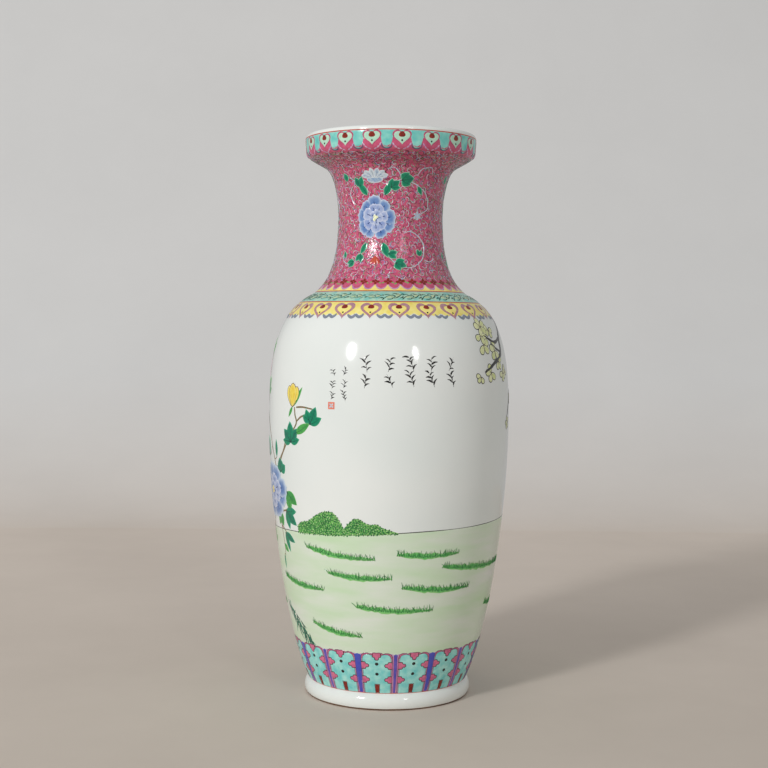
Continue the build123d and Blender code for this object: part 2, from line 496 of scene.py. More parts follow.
def insideOf(outline, spots):
    a, b = outline, np.roll(outline, -1, axis=0)
    x, y = spots[:, :1], spots[:, 1:]
    rise = np.where(abs(b[:, 1] - a[:, 1]) < 1e-9, 1e-9, b[:, 1] - a[:, 1])
    crosses = ((a[:, 1] > y) != (b[:, 1] > y)) & (x < (b[:, 0] - a[:, 0]) * (y - a[:, 1]) / rise + a[:, 0])
    return crosses.sum(axis=1) % 2 == 1


def gapTo(outline, spots):
    a = outline
    side = np.roll(outline, -1, axis=0) - a
    share = ((spots[:, None] - a) * side).sum(axis=2) / ((side ** 2).sum(axis=1) + 1e-12)
    near = a + side * np.clip(share, 0, 1)[:, :, None]
    return np.linalg.norm(spots[:, None] - near, axis=2).min(axis=1)


# Only points are laid on the curved wall, so long steps of a line are cut up.
def cutSteps(line, width=0.0, closed=False, longest=4.0):
    ends = np.array(line, float)
    widths = np.broadcast_to(np.array(width, float), (len(ends),))
    if closed:
        ends = np.vstack([ends, ends[:1]])
        widths = np.append(widths, widths[0])
    steps = np.ceil(np.linalg.norm(np.diff(ends, axis=0), axis=1) / longest).astype(int).clip(1)
    place = np.concatenate([i + np.arange(count) / count for i, count in enumerate(steps)])
    if not closed:
        place = np.append(place, len(steps))
    at = np.arange(len(ends))
    return np.column_stack([np.interp(place, at, ends[:, k]) for k in (0, 1)]), np.interp(place, at, widths)


# A pool of enamel with any outline: low at its rim, level inside, and sunk a little into what is under it.
def addPuddle(sheet, outline, height=0.2, base=0.0, spacing=2.4, tone=0.5, rimWidth=1.6):
    edge = cutSteps(outline, closed=True)[0]
    count = len(edge)
    low, high = edge.min(axis=0), edge.max(axis=0)
    columns = np.arange(low[0] + spacing / 2, high[0], spacing)
    rows = np.arange(low[1] + spacing / 2, high[1], spacing)
    inner = [(x + spacing / 2 * (k % 2), y) for k, y in enumerate(rows) for x in columns]
    inner = np.array(inner).reshape(-1, 2)
    ahead = np.roll(edge, -1, axis=0) - np.roll(edge, 1, axis=0)
    ahead /= np.linalg.norm(ahead, axis=1)[:, None] + 1e-12
    area = np.sum(edge[:, 0] * np.roll(edge[:, 1], -1) - np.roll(edge[:, 0], -1) * edge[:, 1])
    inward = np.column_stack([-ahead[:, 1], ahead[:, 0]]) * (1 if area > 0 else -1)
    lipWidth = min(0.45, 0.12 * min(high - low))
    lip = edge + inward * lipWidth
    spots = np.vstack([lip, inner]) if len(inner) else lip
    gaps = np.where(insideOf(edge, spots), gapTo(edge, spots), 0)
    keep = gaps > np.concatenate([np.full(count, lipWidth * 0.7), np.full(len(spots) - count, spacing * 0.4)])
    corners = np.vstack([edge, spots[keep]])
    fan = delaunay_2d_cdt([Vector(point) for point in corners], [], [list(range(count))], 1, 1e-5)
    flat = np.array([tuple(point) for point in fan[0]])
    depth = gapTo(edge, flat)
    level = base + height * (0.3 + 0.7 * np.sqrt(np.clip(depth / 0.8, 0, 1)))
    top = np.column_stack([flat, level])
    under = np.column_stack([edge, np.full(count, base - 0.08)])
    nearest = [int(np.argmin(((flat - point) ** 2).sum(axis=1))) for point in edge]
    total = len(flat)
    walls = [(nearest[i], nearest[(i + 1) % count], total + (i + 1) % count, total + i) for i in range(count)
             if nearest[i] != nearest[(i + 1) % count]]
    bottom = tuple(total + i for i in range(count))
    rim = np.concatenate([np.clip(1 - depth / rimWidth, 0, 1), np.ones(count)])
    addShape(sheet, np.vstack([top, under]), list(fan[2]) + walls + [bottom], rim, tone)


# A brush stroke: a low ridge along a line, as wide as width says, one number or one for each point.
def addBrush(sheet, line, width, height=0.12, base=0.0, tone=0.5, closed=False):
    line, width = cutSteps(line, width, closed)
    count = len(line)
    ahead = np.roll(line, -1, axis=0) - np.roll(line, 1, axis=0) if closed else np.gradient(line, axis=0)
    ahead /= np.linalg.norm(ahead, axis=1)[:, None] + 1e-12
    half = width[:, None] / 2
    side = np.column_stack([-ahead[:, 1], ahead[:, 0]]) * half
    low = np.full(count, base - 0.06)
    crest = base + height * np.clip(half[:, 0] / 0.4, 0.35, 1)
    points = np.stack([np.column_stack([line + side, low]), np.column_stack([line, crest]),
                       np.column_stack([line - side, low])], axis=1).reshape(-1, 3)
    faces = []
    for i in range(count if closed else count - 1):
        a, b = 3 * i, 3 * ((i + 1) % count)
        faces += [(a, a + 1, b + 1, b), (a + 1, a + 2, b + 2, b + 1), (a + 2, a, b, b + 2)]
    if not closed:
        last = 3 * (count - 1)
        faces += [(2, 1, 0), (last, last + 1, last + 2)]
    addShape(sheet, points, faces, np.zeros(len(points)), tone)


def tapered(count, widest, start=0.35, end=0.12, peak=0.35):
    t = np.linspace(0, 1, count)
    return widest * np.where(t < peak, start + (1 - start) * (t / peak) ** 0.7,
                             end + (1 - end) * ((1 - t) / (1 - peak)) ** 0.8)


def turned(line, angle=0.0, size=1.0, x=0.0, y=0.0):       # angle in degrees, anticlockwise
    line = np.array(line, float) * size
    c, s = cos(radians(angle)), sin(radians(angle))
    return np.column_stack([line[:, 0] * c - line[:, 1] * s + x, line[:, 0] * s + line[:, 1] * c + y])


def oval(width, height, count=14, lumps=0, depth=0.0):
    t = np.linspace(0, 2 * pi, count, endpoint=False)
    swell = 1 + depth * np.cos(lumps * t)
    return np.column_stack([width / 2 * np.sin(t) * swell, height / 2 * np.cos(t) * swell])


def sheetObject(name, sheet):
    points = np.array(sheet["points"]) * mm
    return meshObject(name, points, faces=sheet["faces"], values={"rim": sheet["rim"], "tone": sheet["tone"]})


def paintSheet(name, sheet, material, slotName, girth, tree=None, values=None, nodes=()):
    source = sheetObject(name + "Sheet", sheet)
    given = {"Wall": wallGuide, "Girth": girth * mm, "Material": material, **(values or {})}
    piece = growFrom(source, tree or wrapTree, given, name)
    discard(source)
    closeUp(piece)
    placePiece(piece, slotName, *nodes)


def paintRing(name, sheet, material, slotName, ring, girth=None):
    rise = runAt(ring["height"])
    wander, wanderTurn = ring.get("wander", (0, 0))
    values = {"Count": ring["count"], "Rise": rise * mm, "Turn": radians(ring["turn"]),
              "Wander": radians(wander), "Wander Turn": radians(wanderTurn),
              "Size Spread": ring.get("spread", 0.04), "Lean": radians(ring.get("lean", 2)),
              "Seed": ring.get("seed", 1)}
    paintSheet(name, sheet, material, slotName, girth or radiusAt(rise), ringTree, values)


# Each sheet of a motif with its own enamel, once, or round the vase in a ring.
def paintParts(prefix, parts, paints, girth=None, ring=None):
    for name, (material, slotName) in paints.items():
        title = prefix + name[0].upper() + name[1:]
        if ring:
            paintRing(title, parts[name], material, slotName, ring, girth)
        else:
            paintSheet(title, parts[name], material, slotName, girth)


def paintMarks(name, source, marks, material, slotName, girth, tree, values):
    group = bpy.data.collections.new(name + "Marks")
    bpy.context.scene.collection.children.link(group)
    shapes = [sheetObject(name + "Mark", mark) for mark in marks]
    for shape in shapes:
        bpy.context.scene.collection.objects.unlink(shape)
        group.objects.link(shape)
    given = {"Wall": wallGuide, "Girth": girth * mm, "Material": material, "Marks": group, **values}
    piece = growFrom(source, tree, given, name)
    discard(source, *shapes)
    bpy.data.collections.remove(group)
    closeUp(piece)
    placePiece(piece, slotName)


# A coat of enamel right round the vase, between two edges given as heights at each angle.
def paintCoat(name, low, high, thickness, rows, material, slotName, *nodes, columns=384, under=0.0):
    angles = np.linspace(-180, 180, columns + 1)
    lowRun = np.array([runAt(low(angle) if callable(low) else low) for angle in angles])
    highRun = np.array([runAt(high(angle) if callable(high) else high) for angle in angles])
    girth = radiusAt(float((lowRun.mean() + highRun.mean()) / 2))
    width = float((highRun - lowRun).mean())
    shares = {*np.linspace(0, 1, rows), 0.35 / width, 1 - 0.35 / width}
    corner = runAt(heights["bandBottom"])    # the wall turns sharply here, so a level coat has a row on it
    if np.ptp(lowRun) < 0.01 and lowRun[0] + 1 < corner < highRun[0] - 1:
        shares.add((corner - lowRun[0]) / (highRun[0] - lowRun[0]))
    shares = sorted(shares)
    depth = [min(share, 1 - share) * width for share in shares]
    levels = under + thickness * np.interp(depth, [0, 0.35, 0.9], [0.3, 0.85, 1])
    x = np.radians(angles) * girth
    top = [np.column_stack([x, lowRun + (highRun - lowRun) * share, np.full(len(x), level)])
           for share, level in zip(shares, levels)]
    bottom = [np.column_stack([row[:, :2], np.full(len(x), under - 0.05)]) for row in top[::-1]]
    loop = top + bottom
    across = columns + 1
    points = np.vstack(loop)
    rim = np.repeat([max(0, 1 - d / 1.6) for d in depth + depth[::-1]], across)
    faces = [(row * across + i, row * across + i + 1, (row + 1) % len(loop) * across + i + 1,
              (row + 1) % len(loop) * across + i) for row in range(len(loop)) for i in range(columns)]
    sheet = {"points": points, "faces": faces, "rim": rim, "tone": np.full(len(points), 0.5)}
    paintSheet(name, sheet, material, slotName, girth, nodes=nodes)


def newMaterial(name, **settings):
    material = bpy.data.materials.new(name)
    material.use_nodes = True
    tree = material.node_tree
    tree.nodes.clear()
    shader = addNode(tree, "ShaderNodeBsdfPrincipled", settings)
    output = addNode(tree, "ShaderNodeOutputMaterial")
    tree.links.new(shader.outputs[0], output.inputs[0])
    return material, tree, shader


def plainColour(red, green, blue):      # colours are given as they look, 0 to 255
    def linear(value):
        value /= 255
        return value / 12.92 if value <= 0.04045 else ((value + 0.055) / 1.055) ** 2.4
    return (linear(red), linear(green), linear(blue), 1)


def blend(tree, share, first, second):
    colourA, colourB, mixed = 6, 7, 2           # a Mix node's colour sockets, which share names with others
    inputs = {"Factor": share, colourA: first, colourB: second}
    return addNode(tree, "ShaderNodeMix", inputs, data_type="RGBA").outputs[mixed]


def ramp(tree, value, low, high):
    return addNode(tree, "ShaderNodeMapRange", {"Value": value, "From Min": low, "From Max": high}).outputs[0]


def objectPlace(tree):
    return addNode(tree, "ShaderNodeTexCoord").outputs["Object"]


def noiseOf(tree, scale, detail=3.0, stretch=(1, 1, 1), rough=0.5):
    mapped = addNode(tree, "ShaderNodeMapping", {"Vector": objectPlace(tree), "Scale": stretch}).outputs[0]
    inputs = {"Vector": mapped, "Scale": scale, "Detail": detail, "Roughness": rough}
    return addNode(tree, "ShaderNodeTexNoise", inputs).outputs["Fac"]


def bumpFrom(tree, shader, height, distance):
    bump = addNode(tree, "ShaderNodeBump", {"Height": height, "Distance": distance}).outputs[0]
    tree.links.new(bump, shader.inputs["Normal"])


# White glaze. Below bareBelow, in metres, it has been wiped off the clay.
def makeGlaze(name, bareBelow=0.0):
    material, tree, shader = newMaterial(name, **{"Roughness": 0.1, "IOR": 1.5})
    pool = noiseOf(tree, 9, 2)
    base = blend(tree, ramp(tree, pool, 0.35, 0.65), plainColour(229, 234, 230), plainColour(235, 238, 234))
    specks = addNode(tree, "ShaderNodeTexVoronoi", {"Vector": objectPlace(tree), "Scale": 38.0})
    small = calc(tree, "LESS_THAN", specks.outputs["Distance"], 0.012)
    chosen = addNode(tree, "ShaderNodeSeparateColor", {0: specks.outputs["Color"]}).outputs[0]
    few = calc(tree, "GREATER_THAN", chosen, 0.88)
    colour = blend(tree, calc(tree, "MULTIPLY", small, few), base, plainColour(150, 146, 134))
    if bareBelow:
        level = axesOf(tree, objectPlace(tree))[2]
        wiped = calc(tree, "ADD", level, calc(tree, "MULTIPLY", noiseOf(tree, 30, 3), 0.0012))
        bare = calc(tree, "LESS_THAN", wiped, bareBelow + 0.0006)
        grain = ramp(tree, noiseOf(tree, 60, 5, rough=0.7), 0.3, 0.7)
        clay = blend(tree, grain, plainColour(124, 94, 68), plainColour(92, 66, 46))
        colour = blend(tree, bare, colour, clay)
        roughness = addNode(tree, "ShaderNodeMapRange", {"Value": bare, "To Min": 0.1, "To Max": 0.85})
        tree.links.new(roughness.outputs[0], shader.inputs["Roughness"])
    tree.links.new(colour, shader.inputs["Base Color"])
    bumpFrom(tree, shader, noiseOf(tree, 24, 1), 0.00025)
    return material


# Enamel runs from one colour to another with each mark's tone and a fine brushy noise. Its rim may differ.
def makeEnamel(name, first, second, rimColour=None, gloss=0.14, grain=260, stretch=(1, 1, 1), streak=0.7,
               lumps=0.00006):
    material, tree, shader = newMaterial(name, **{"Roughness": gloss, "IOR": 1.52})
    tone = addNode(tree, "ShaderNodeAttribute", attribute_name="tone").outputs["Fac"]
    brush = calc(tree, "MULTIPLY", calc(tree, "SUBTRACT", noiseOf(tree, grain, 4, stretch), 0.5), streak * 4)
    share = addNode(tree, "ShaderNodeClamp", {"Value": calc(tree, "ADD", tone, brush)}).outputs[0]
    colour = blend(tree, share, plainColour(*first), plainColour(*second))
    if rimColour:
        rim = addNode(tree, "ShaderNodeAttribute", attribute_name="rim").outputs["Fac"]
        colour = blend(tree, calc(tree, "POWER", rim, 1.6), colour, plainColour(*rimColour))
    tree.links.new(colour, shader.inputs["Base Color"])
    bumpFrom(tree, shader, noiseOf(tree, 420, 2), lumps)
    return material


whiteGlaze = makeGlaze("whiteGlaze")
footGlaze = makeGlaze("footGlaze", bareBelow=1.8 * mm)
roseEnamel = makeEnamel("roseEnamel", (218, 98, 132), (184, 70, 106), grain=220, streak=0.5, lumps=0.0003)
turquoiseEnamel = makeEnamel("turquoiseEnamel", (154, 222, 208), (98, 196, 190), grain=120)
bandTurquoise = makeEnamel("bandTurquoise", (192, 226, 198), (118, 202, 192), grain=150)
mintEnamel = makeEnamel("mintEnamel", (198, 230, 204), (170, 218, 196), grain=260)
celadonEnamel = makeEnamel("celadonEnamel", (214, 228, 186), (186, 212, 170), grain=260)
yellowEnamel = makeEnamel("yellowEnamel", (250, 238, 150), (243, 222, 110), grain=160)
ironRed = makeEnamel("ironRed", (150, 40, 24), (112, 26, 18))
coralRed = makeEnamel("coralRed", (206, 84, 58), (180, 62, 44))
pinkLine = makeEnamel("pinkLine", (206, 96, 128), (172, 66, 104))
lilacEnamel = makeEnamel("lilacEnamel", (164, 118, 134), (192, 150, 158), grain=300)
paleLilac = makeEnamel("paleLilac", (220, 184, 208), (182, 132, 184), grain=240)
blueEnamel = makeEnamel("blueEnamel", (62, 78, 188), (88, 84, 182), grain=200)
greyBlue = makeEnamel("greyBlue", (136, 140, 160), (112, 134, 138), grain=300)
slateLine = makeEnamel("slateLine", (72, 84, 128), (92, 96, 112))
inkLine = makeEnamel("inkLine", (26, 26, 26), (58, 54, 48), grain=300)
brownLine = makeEnamel("brownLine", (118, 66, 52), (92, 62, 56))
leafGreen = makeEnamel("leafGreen", (0, 140, 98), (6, 112, 88), rimColour=(84, 184, 146), grain=420)
springGreen = makeEnamel("springGreen", (76, 166, 78), (46, 140, 66), rimColour=(110, 190, 100), grain=300)
darkLeaf = makeEnamel("darkLeaf", (10, 70, 52), (8, 56, 60), grain=300)
grassGreen = makeEnamel("grassGreen", (124, 206, 116), (84, 182, 92), rimColour=(168, 216, 144), grain=240)
grassBlade = makeEnamel("grassBlade", (36, 112, 52), (24, 84, 44), grain=300)
petalBlue = makeEnamel("petalBlue", (118, 150, 200), (86, 122, 182), rimColour=(208, 222, 236), grain=300)
petalLilac = makeEnamel("petalLilac", (172, 186, 218), (134, 154, 204), rimColour=(220, 224, 238), grain=300)
petalPink = makeEnamel("petalPink", (212, 108, 140), (190, 80, 120), rimColour=(240, 196, 208), grain=300)
petalYellow = makeEnamel("petalYellow", (246, 222, 92), (234, 200, 66), rimColour=(250, 236, 150), grain=200)
blossomGreen = makeEnamel("blossomGreen", (238, 240, 190), (212, 222, 144), rimColour=(242, 244, 206),
                          grain=240)
blueLine = makeEnamel("blueLine", (38, 56, 108), (54, 78, 140))
inkGreen = makeEnamel("inkGreen", (30, 70, 56), (24, 104, 84), grain=300)
stemBrown = makeEnamel("stemBrown", (150, 112, 90), (104, 116, 72))
paleScroll = makeEnamel("paleScroll", (214, 222, 224), (170, 196, 214), grain=500)
greenScroll = makeEnamel("greenScroll", (84, 144, 106), (130, 176, 130), grain=500)
darkScroll = makeEnamel("darkScroll", (84, 30, 52), (52, 48, 58), grain=500)
meadowWash = makeEnamel("meadowWash", (229, 232, 223), (200, 226, 186), grain=16, stretch=(0.7, 0.7, 3.2),
                        streak=0.55)
sealRed = makeEnamel("sealRed", (236, 142, 118), (226, 118, 94))

print("materials made")


# Porcelain sections and the slip between them
def buildPorcelain():
    z = {name: (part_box(name)[0].z / mm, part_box(name)[1].z / mm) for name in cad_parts}
    ringTop = z["foot_ring"][1]
    slabLow, slabTop = z["floor_slab"]
    bodyLow = z["lower_body"][0]
    cuts = {
        "lower_body": z["lower_body"],
        "belly_luting": (z["lower_body"][1], z["upper_body"][0]),
        "upper_body": z["upper_body"],
        "shoulder_luting": (z["upper_body"][1], z["neck"][0]),
        "neck": z["neck"],
        "collar_luting": (z["neck"][1], z["mouth_collar"][0]),
        "mouth_collar": z["mouth_collar"],
        "base_luting": (slabTop, bodyLow),
    }
    names = {"lower_body": "lowerBody", "belly_luting": "bellyLuting", "upper_body": "upperBody",
             "shoulder_luting": "shoulderLuting", "neck": "neckWall", "collar_luting": "collarLuting",
             "mouth_collar": "mouthCollar", "base_luting": "baseLuting"}
    for node, (low, high) in cuts.items():
        loop = joined(clipped(outerLine, low, high), clipped(innerLine, low, high)[::-1])
        if node == "mouth_collar":
            outer = outerLine[outerLine[:, 1] > low + 0.3]
            inner = innerLine[innerLine[:, 1] > low + 0.3]
            edgeOut, edgeIn = clipped(outerLine, low, high)[:2], clipped(innerLine, low, high)[:2]
            loop = np.vstack([edgeOut, outer, inner[::-1][1:], edgeIn[::-1]])
        loop = np.vstack([loop, loop[:1]])
        slotName = "slip" if "luting" in node else "glazed_porcelain"
        turnPiece(names[node], loop, whiteGlaze, slotName, node)
    rim = clipped(outerLine, slabLow, slabTop)
    slab = np.vstack([[(0, slabLow)], rim, [(0, slabTop)]])
    turnPiece("floorSlab", slab, whiteGlaze, "glazed_porcelain", "floor_slab")
    joint = clipped(outerLine, ringTop, slabLow)
    inner = [(float(np.interp(level, hollowLine[:, 1], hollowLine[:, 0])), level)
             for level in (slabLow, ringTop)]
    turnPiece("footLuting", np.vstack([joint, inner, joint[:1]]), whiteGlaze, "slip", "foot_luting")
    ring = clipped(outerLine, 0, ringTop)
    ring = np.vstack([ring, inner[1:], hollowLine[:1], ring[:1]])
    turnPiece("footRing", ring, footGlaze, "glazed_porcelain", "foot_ring")
    print("porcelain turned")


buildPorcelain()


# Where an angle falls among the marks of a ring: 0 at a mark, 0.5 either way half-way to the next.
def phaseAt(angle, ring):
    wander, wanderTurn = ring.get("wander", (0, 0))
    even = angle - wander * sin(radians(2 * angle + wanderTurn))
    share = (even - ring["turn"]) * ring["count"] / 360
    return share - round(share)


def heartLine(width, height, count=32):
    t = np.linspace(0, 2 * pi, count, endpoint=False)
    y = 13 * np.cos(t) - 5 * np.cos(2 * t) - 2 * np.cos(3 * t) - np.cos(4 * t)
    return np.column_stack([width / 2 * np.sin(t) ** 3, (y + 2.5) / 28.9 * height])


def addHeart(parts, width, height, line, level):
    addPuddle(parts["line"], heartLine(width, height), 0.14, level)
    addPuddle(parts["fill"], heartLine(width - 2 * line, height - 2 * line), 0.12, level + 0.1, tone=0.4)
    addPuddle(parts["dot"], turned(oval(6.8, 5.8, 12, 3, 0.1), 0, 1, 0, height * 0.22), 0.14, level + 0.18,
              tone=0.4)
    addPuddle(parts["pupil"], turned(oval(2.0, 2.2, 8), 0, 1, 0, -height * 0.14), 0.14, level + 0.18,
              tone=0.2)


mouthBand = {
    "hearts": {"count": 19, "turn": 8.3, "height": 596.3, "wander": (1.8, -66), "seed": 4},
    "width": 19.8, "tall": 16.6, "line": 1.5,
    "low": 586.2,              # the turquoise dips this low between two hearts, and is no higher than edge
    "edge": 597.0,
    "high": 604.4,
    "dipWidth": 0.19,          # half of each dip, as a share of the pitch
    "level": 0.3,
    "dip": ((-5.4, 5.0), (-4.9, 1.9), (-3.0, 0.1), (0, -0.5), (3.0, 0.1), (4.9, 1.9), (5.4, 5.0)),
    "frills": ((3.0, 0.0, -58), (6.2, 2.2, -50), (8.6, 5.0, -38)),      # across, up, lean
}


def paintMouthBand(band):
    hearts = band["hearts"]

    def lowEdge(angle):
        across = max(0.0, (abs(phaseAt(angle, hearts)) - 0.5 + band["dipWidth"]) / band["dipWidth"])
        return band["edge"] - (band["edge"] - band["low"]) * sqrt(1 - (1 - across) ** 2)

    paintCoat("mouthBandCoat", lowEdge, band["high"], 0.3, 7, turquoiseEnamel, "turquoise_enamel",
              "mouth_band_enamel", columns=760)
    parts = {name: newSheet() for name in ("fill", "line", "dot", "pupil")}
    addHeart(parts, band["width"], band["tall"], band["line"], band["level"])
    paints = {"fill": (mintEnamel, "pale_green_enamel"), "line": (pinkLine, "rose_enamel"),
              "dot": (ironRed, "red_enamel"), "pupil": (inkLine, "turquoise_enamel")}
    paintParts("mouthHeart", parts, paints, ring=hearts)
    scallop = newSheet()
    dip = smoothLine(band["dip"], 4)
    addBrush(scallop, dip, tapered(len(dip), 1.5, 0.5, 0.5, 0.5), 0.2, 0.25)
    between = {**hearts, "turn": hearts["turn"] + 180 / hearts["count"], "height": band["low"] + 0.4}
    paintRing("mouthScallops", scallop, slateLine, "turquoise_enamel", between)
    petals = newSheet()
    for side in (-1, 1):
        for x, y, lean in band["frills"]:
            addPuddle(petals, turned(oval(1.7, 3.6, 8), side * lean, 1, side * x, y), 0.16, 0.2, 3, tone=0.3)
    paintRing("mouthHeartFrills", petals, paleLilac, "rose_enamel", {**hearts, "height": band["low"] - 0.2})
    paintCoat("lipLine", band["high"] + 0.3, heights["bandTop"] - 0.05, 0.34, 3, coralRed, "red_enamel",
              "lip_line_enamel")
    print("mouth band painted")


paintMouthBand(mouthBand)


shoulderBand = {
    "hearts": {"count": 23, "turn": 5.0, "height": 418.9, "seed": 9, "lean": 4},
    "width": 23.4, "tall": 21.0, "line": 3.7,
    "low": 414.0, "yellowTop": 428.0, "turquoiseTop": 439.2, "level": 0.24,
    "scrolls": {"count": 29, "turn": 2, "height": 433.6, "lean": 7, "spread": 0.14, "seed": 3},
    "swirls": (((-7, -2.6), (-4, 0.6), (-1, 1.8), (1.6, 0.2), (0.2, -1.8), (-1.6, -0.8)),
               ((7, 2.8), (4.4, -0.4), (1.8, -2.6), (-1.4, -2.9)), ((2.2, 2.9), (4.2, 3.3), (5.8, 1.6)),
               ((-6.6, 2.4), (-4.4, 3.6), (-2.2, 3.2)), ((4.6, -3.4), (6.4, -2.4), (7.6, -0.6)),
               ((-4.6, -3.8), (-2.8, -4.2), (-0.6, -3.6)), ((3.4, 4.4), (1.4, 4.2), (-0.4, 3.2)),
               ((7.0, 4.6), (8.4, 3.2), (7.8, 1.6), (6.4, 2.2)),
               ((-8.4, -4.4), (-7.2, -3.0), (-8.0, -1.4), (-9.2, -2.2))),
    # cloud: across, up, width, height, lean
    "clouds": ((-3.4, -0.9, 7.4, 3.4, 20), (4.6, 1.2, 6.4, 3.2, 30), (0.6, -2.6, 5.0, 2.0, -10)),
}


def paintShoulder(band):
    hearts = band["hearts"]

    def lowEdge(angle):
        return band["low"] + 2.2 - 2.6 * abs(sin(2 * pi * phaseAt(angle, hearts)))

    paintCoat("shoulderYellow", lowEdge, band["yellowTop"], 0.24, 7, yellowEnamel, "yellow_enamel",
              "shoulder_yellow_enamel", columns=644)
    parts = {name: newSheet() for name in ("fill", "line", "dot", "pupil")}
    addHeart(parts, band["width"], band["tall"], band["line"], band["level"])
    inner = newSheet()
    addBrush(inner, heartLine(band["width"] - 7.8, band["tall"] - 7.6, 24), 0.5, 0.1, band["level"] + 0.14,
             closed=True)
    paints = {"fill": (yellowEnamel, "yellow_enamel"), "line": (lilacEnamel, "rose_enamel"),
              "dot": (ironRed, "red_enamel"), "pupil": (inkLine, "turquoise_enamel")}
    paintParts("shoulderHeart", parts, paints, ring=hearts)
    paintRing("shoulderHeartInner", inner, coralRed, "red_enamel", hearts)
    scallop = newSheet()
    for side in (-1, 1):
        arc = smoothLine([(0, 1.2), (side * 1.8, -1.2), (side * 4.0, -2.2),
                          (side * 6.2, -1.0), (side * 8, 1.4)], 4)
        addBrush(scallop, arc, tapered(len(arc), 3.4, 0.7, 0.6, 0.5), 0.22, 0.2, tone=0.3)
    between = {**hearts, "turn": hearts["turn"] + 180 / hearts["count"], "height": band["low"] - 0.2,
               "spread": 0.08}
    paintRing("shoulderScallops", scallop, greyBlue, "turquoise_enamel", between)
    paintCoat("shoulderTurquoise", band["yellowTop"] - 0.1, band["turquoiseTop"], 0.26, 5, bandTurquoise,
              "turquoise_enamel", "shoulder_turquoise_enamel")
    cloud, outline = newSheet(), newSheet()
    for line in band["swirls"]:
        soft = smoothLine(line, 4) * (1.25, 1.15)
        addBrush(outline, soft, tapered(len(soft), 1.5, 0.6, 0.5, 0.5), 0.16, 0.28)
    for x, y, wide, tall, lean in band["clouds"]:
        addPuddle(cloud, turned(oval(wide, tall, 12, 5, 0.08), lean, 1, x, y), 0.12, 0.24, tone=0.8)
    paintRing("shoulderClouds", cloud, celadonEnamel, "pale_green_enamel", band["scrolls"])
    paintRing("shoulderScrolls", outline, inkGreen, "turquoise_enamel", band["scrolls"])
    lines = {"shoulderGoldLine": band["yellowTop"], "neckGoldLine": band["turquoiseTop"] + 0.2}
    for name, height in lines.items():
        paintCoat(name, height - 0.45, height + 0.45, 0.12, 3, coralRed, "red_enamel", under=0.24)
    print("shoulder bands painted")


paintShoulder(shoulderBand)


neckFoot = {
    "florets": {"count": 35, "turn": -1.8, "height": 449.4, "lean": 12, "spread": 0.12, "seed": 5},
    "low": 439.3,
    "valley": 441.0,           # the yellow's upper edge half-way between two florets
    "peakRise": 6.0,
    "scallopHeight": 442.0,
    "arc": ((-6.2, 5.6), (-5.3, 3.3), (-3.2, 0.9), (0, -0.3), (3.2, 0.9), (5.3, 3.3), (6.2, 5.6)),
}


def paintNeckFoot(setup):
    florets = setup["florets"]

    def peaks(angle):
        return setup["valley"] + setup["peakRise"] * (1 - 2 * abs(phaseAt(angle, florets))) ** 2.4

    paintCoat("yellowPeaks", setup["low"], peaks, 0.3, 4, yellowEnamel, "yellow_enamel",
              "yellow_line_enamel", columns=770)
    scallop, bloom, leaf = newSheet(), newSheet(), newSheet()
    arc = smoothLine(setup["arc"], 4)
    addBrush(scallop, arc, tapered(len(arc), 1.9, 0.5, 0.5, 0.5), 0.22, 0.28, tone=0.6)
    turn = florets["turn"] + 180 / florets["count"]
    between = {**florets, "turn": turn, "height": setup["scallopHeight"], "lean": 1}
    paintRing("neckScallops", scallop, paleLilac, "rose_enamel", between)
    for k in range(4):
        spot = (2.7 * sin(pi / 2 * k), 2.1 * cos(pi / 2 * k))
        addPuddle(bloom, turned(oval(3.2, 4.0, 9), 90 * k, 1, *spot), 0.22, 0.18)
    for side in (-1, 1):
        addPuddle(leaf, turned(oval(1.4, 3.4, 8), side * 60, 1, side * 4.9, -1.4), 0.2, 0.18, tone=0.4)
    paintRing("neckFlorets", bloom, ironRed, "red_enamel", florets)
    paintRing("neckFloretLeaves", leaf, springGreen, "pale_green_enamel", florets)
    print("neck foot painted")


paintNeckFoot(neckFoot)


# The neck and the underside of the collar: a rose coat covered with small curls.
roseCoats = {          # low edge, high edge, rows
    "neckRose": (440.4, 573.0, 46, "neck_rose_enamel"),
    "collarRose": (572.8, 598.0, 12, "collar_rose_enamel"),
}
roseThickness = 0.18
for name, (low, high, rows, node) in roseCoats.items():
    paintCoat(name, low, high, roseThickness, rows, roseEnamel, "rose_enamel", node)

blueScroll = makeEnamel("blueScroll", (150, 168, 206), (112, 134, 186), grain=500)
curlInkAndCollarShade = makeEnamel("curlInkAndCollarShade", (66, 40, 48), (60, 74, 60), grain=500)
neckCurls = {
    "high": 584.0,
    "girth": 62,
    "width": 1.05, "size": 1.5,
    "shapes": (((-1.2, -1.0), (0.3, -1.2), (1.4, -0.2), (1.1, 1.0), (0, 1.2), (-0.3, 0.4)),
               ((-2.2, -0.8), (-1.2, 0.5), (0, 0.7), (1.1, 0.1), (2.1, -0.9)),
               ((-1.9, 1.0), (-1.0, -0.5), (0.4, -0.9), (1.5, 0.0), (1.0, 1.0), (0.2, 0.7))),
    # colour, gap between marks, seed, lowest height
    "kinds": {"Pale": (paleScroll, 5.0, 11, 452.5), "Green": (greenScroll, 5.2, 23, 452.5),
              "Dark": (darkScroll, 4.3, 37, 452.5), "Blue": (blueScroll, 7.5, 51, 452.5),
              # the Deep marks add dark curls from 558 up to just under the collar: partly the denser pattern
              # there, partly painted shade under the collar
              "Deep": (curlInkAndCollarShade, 4.2, 64, 558.0)},
}


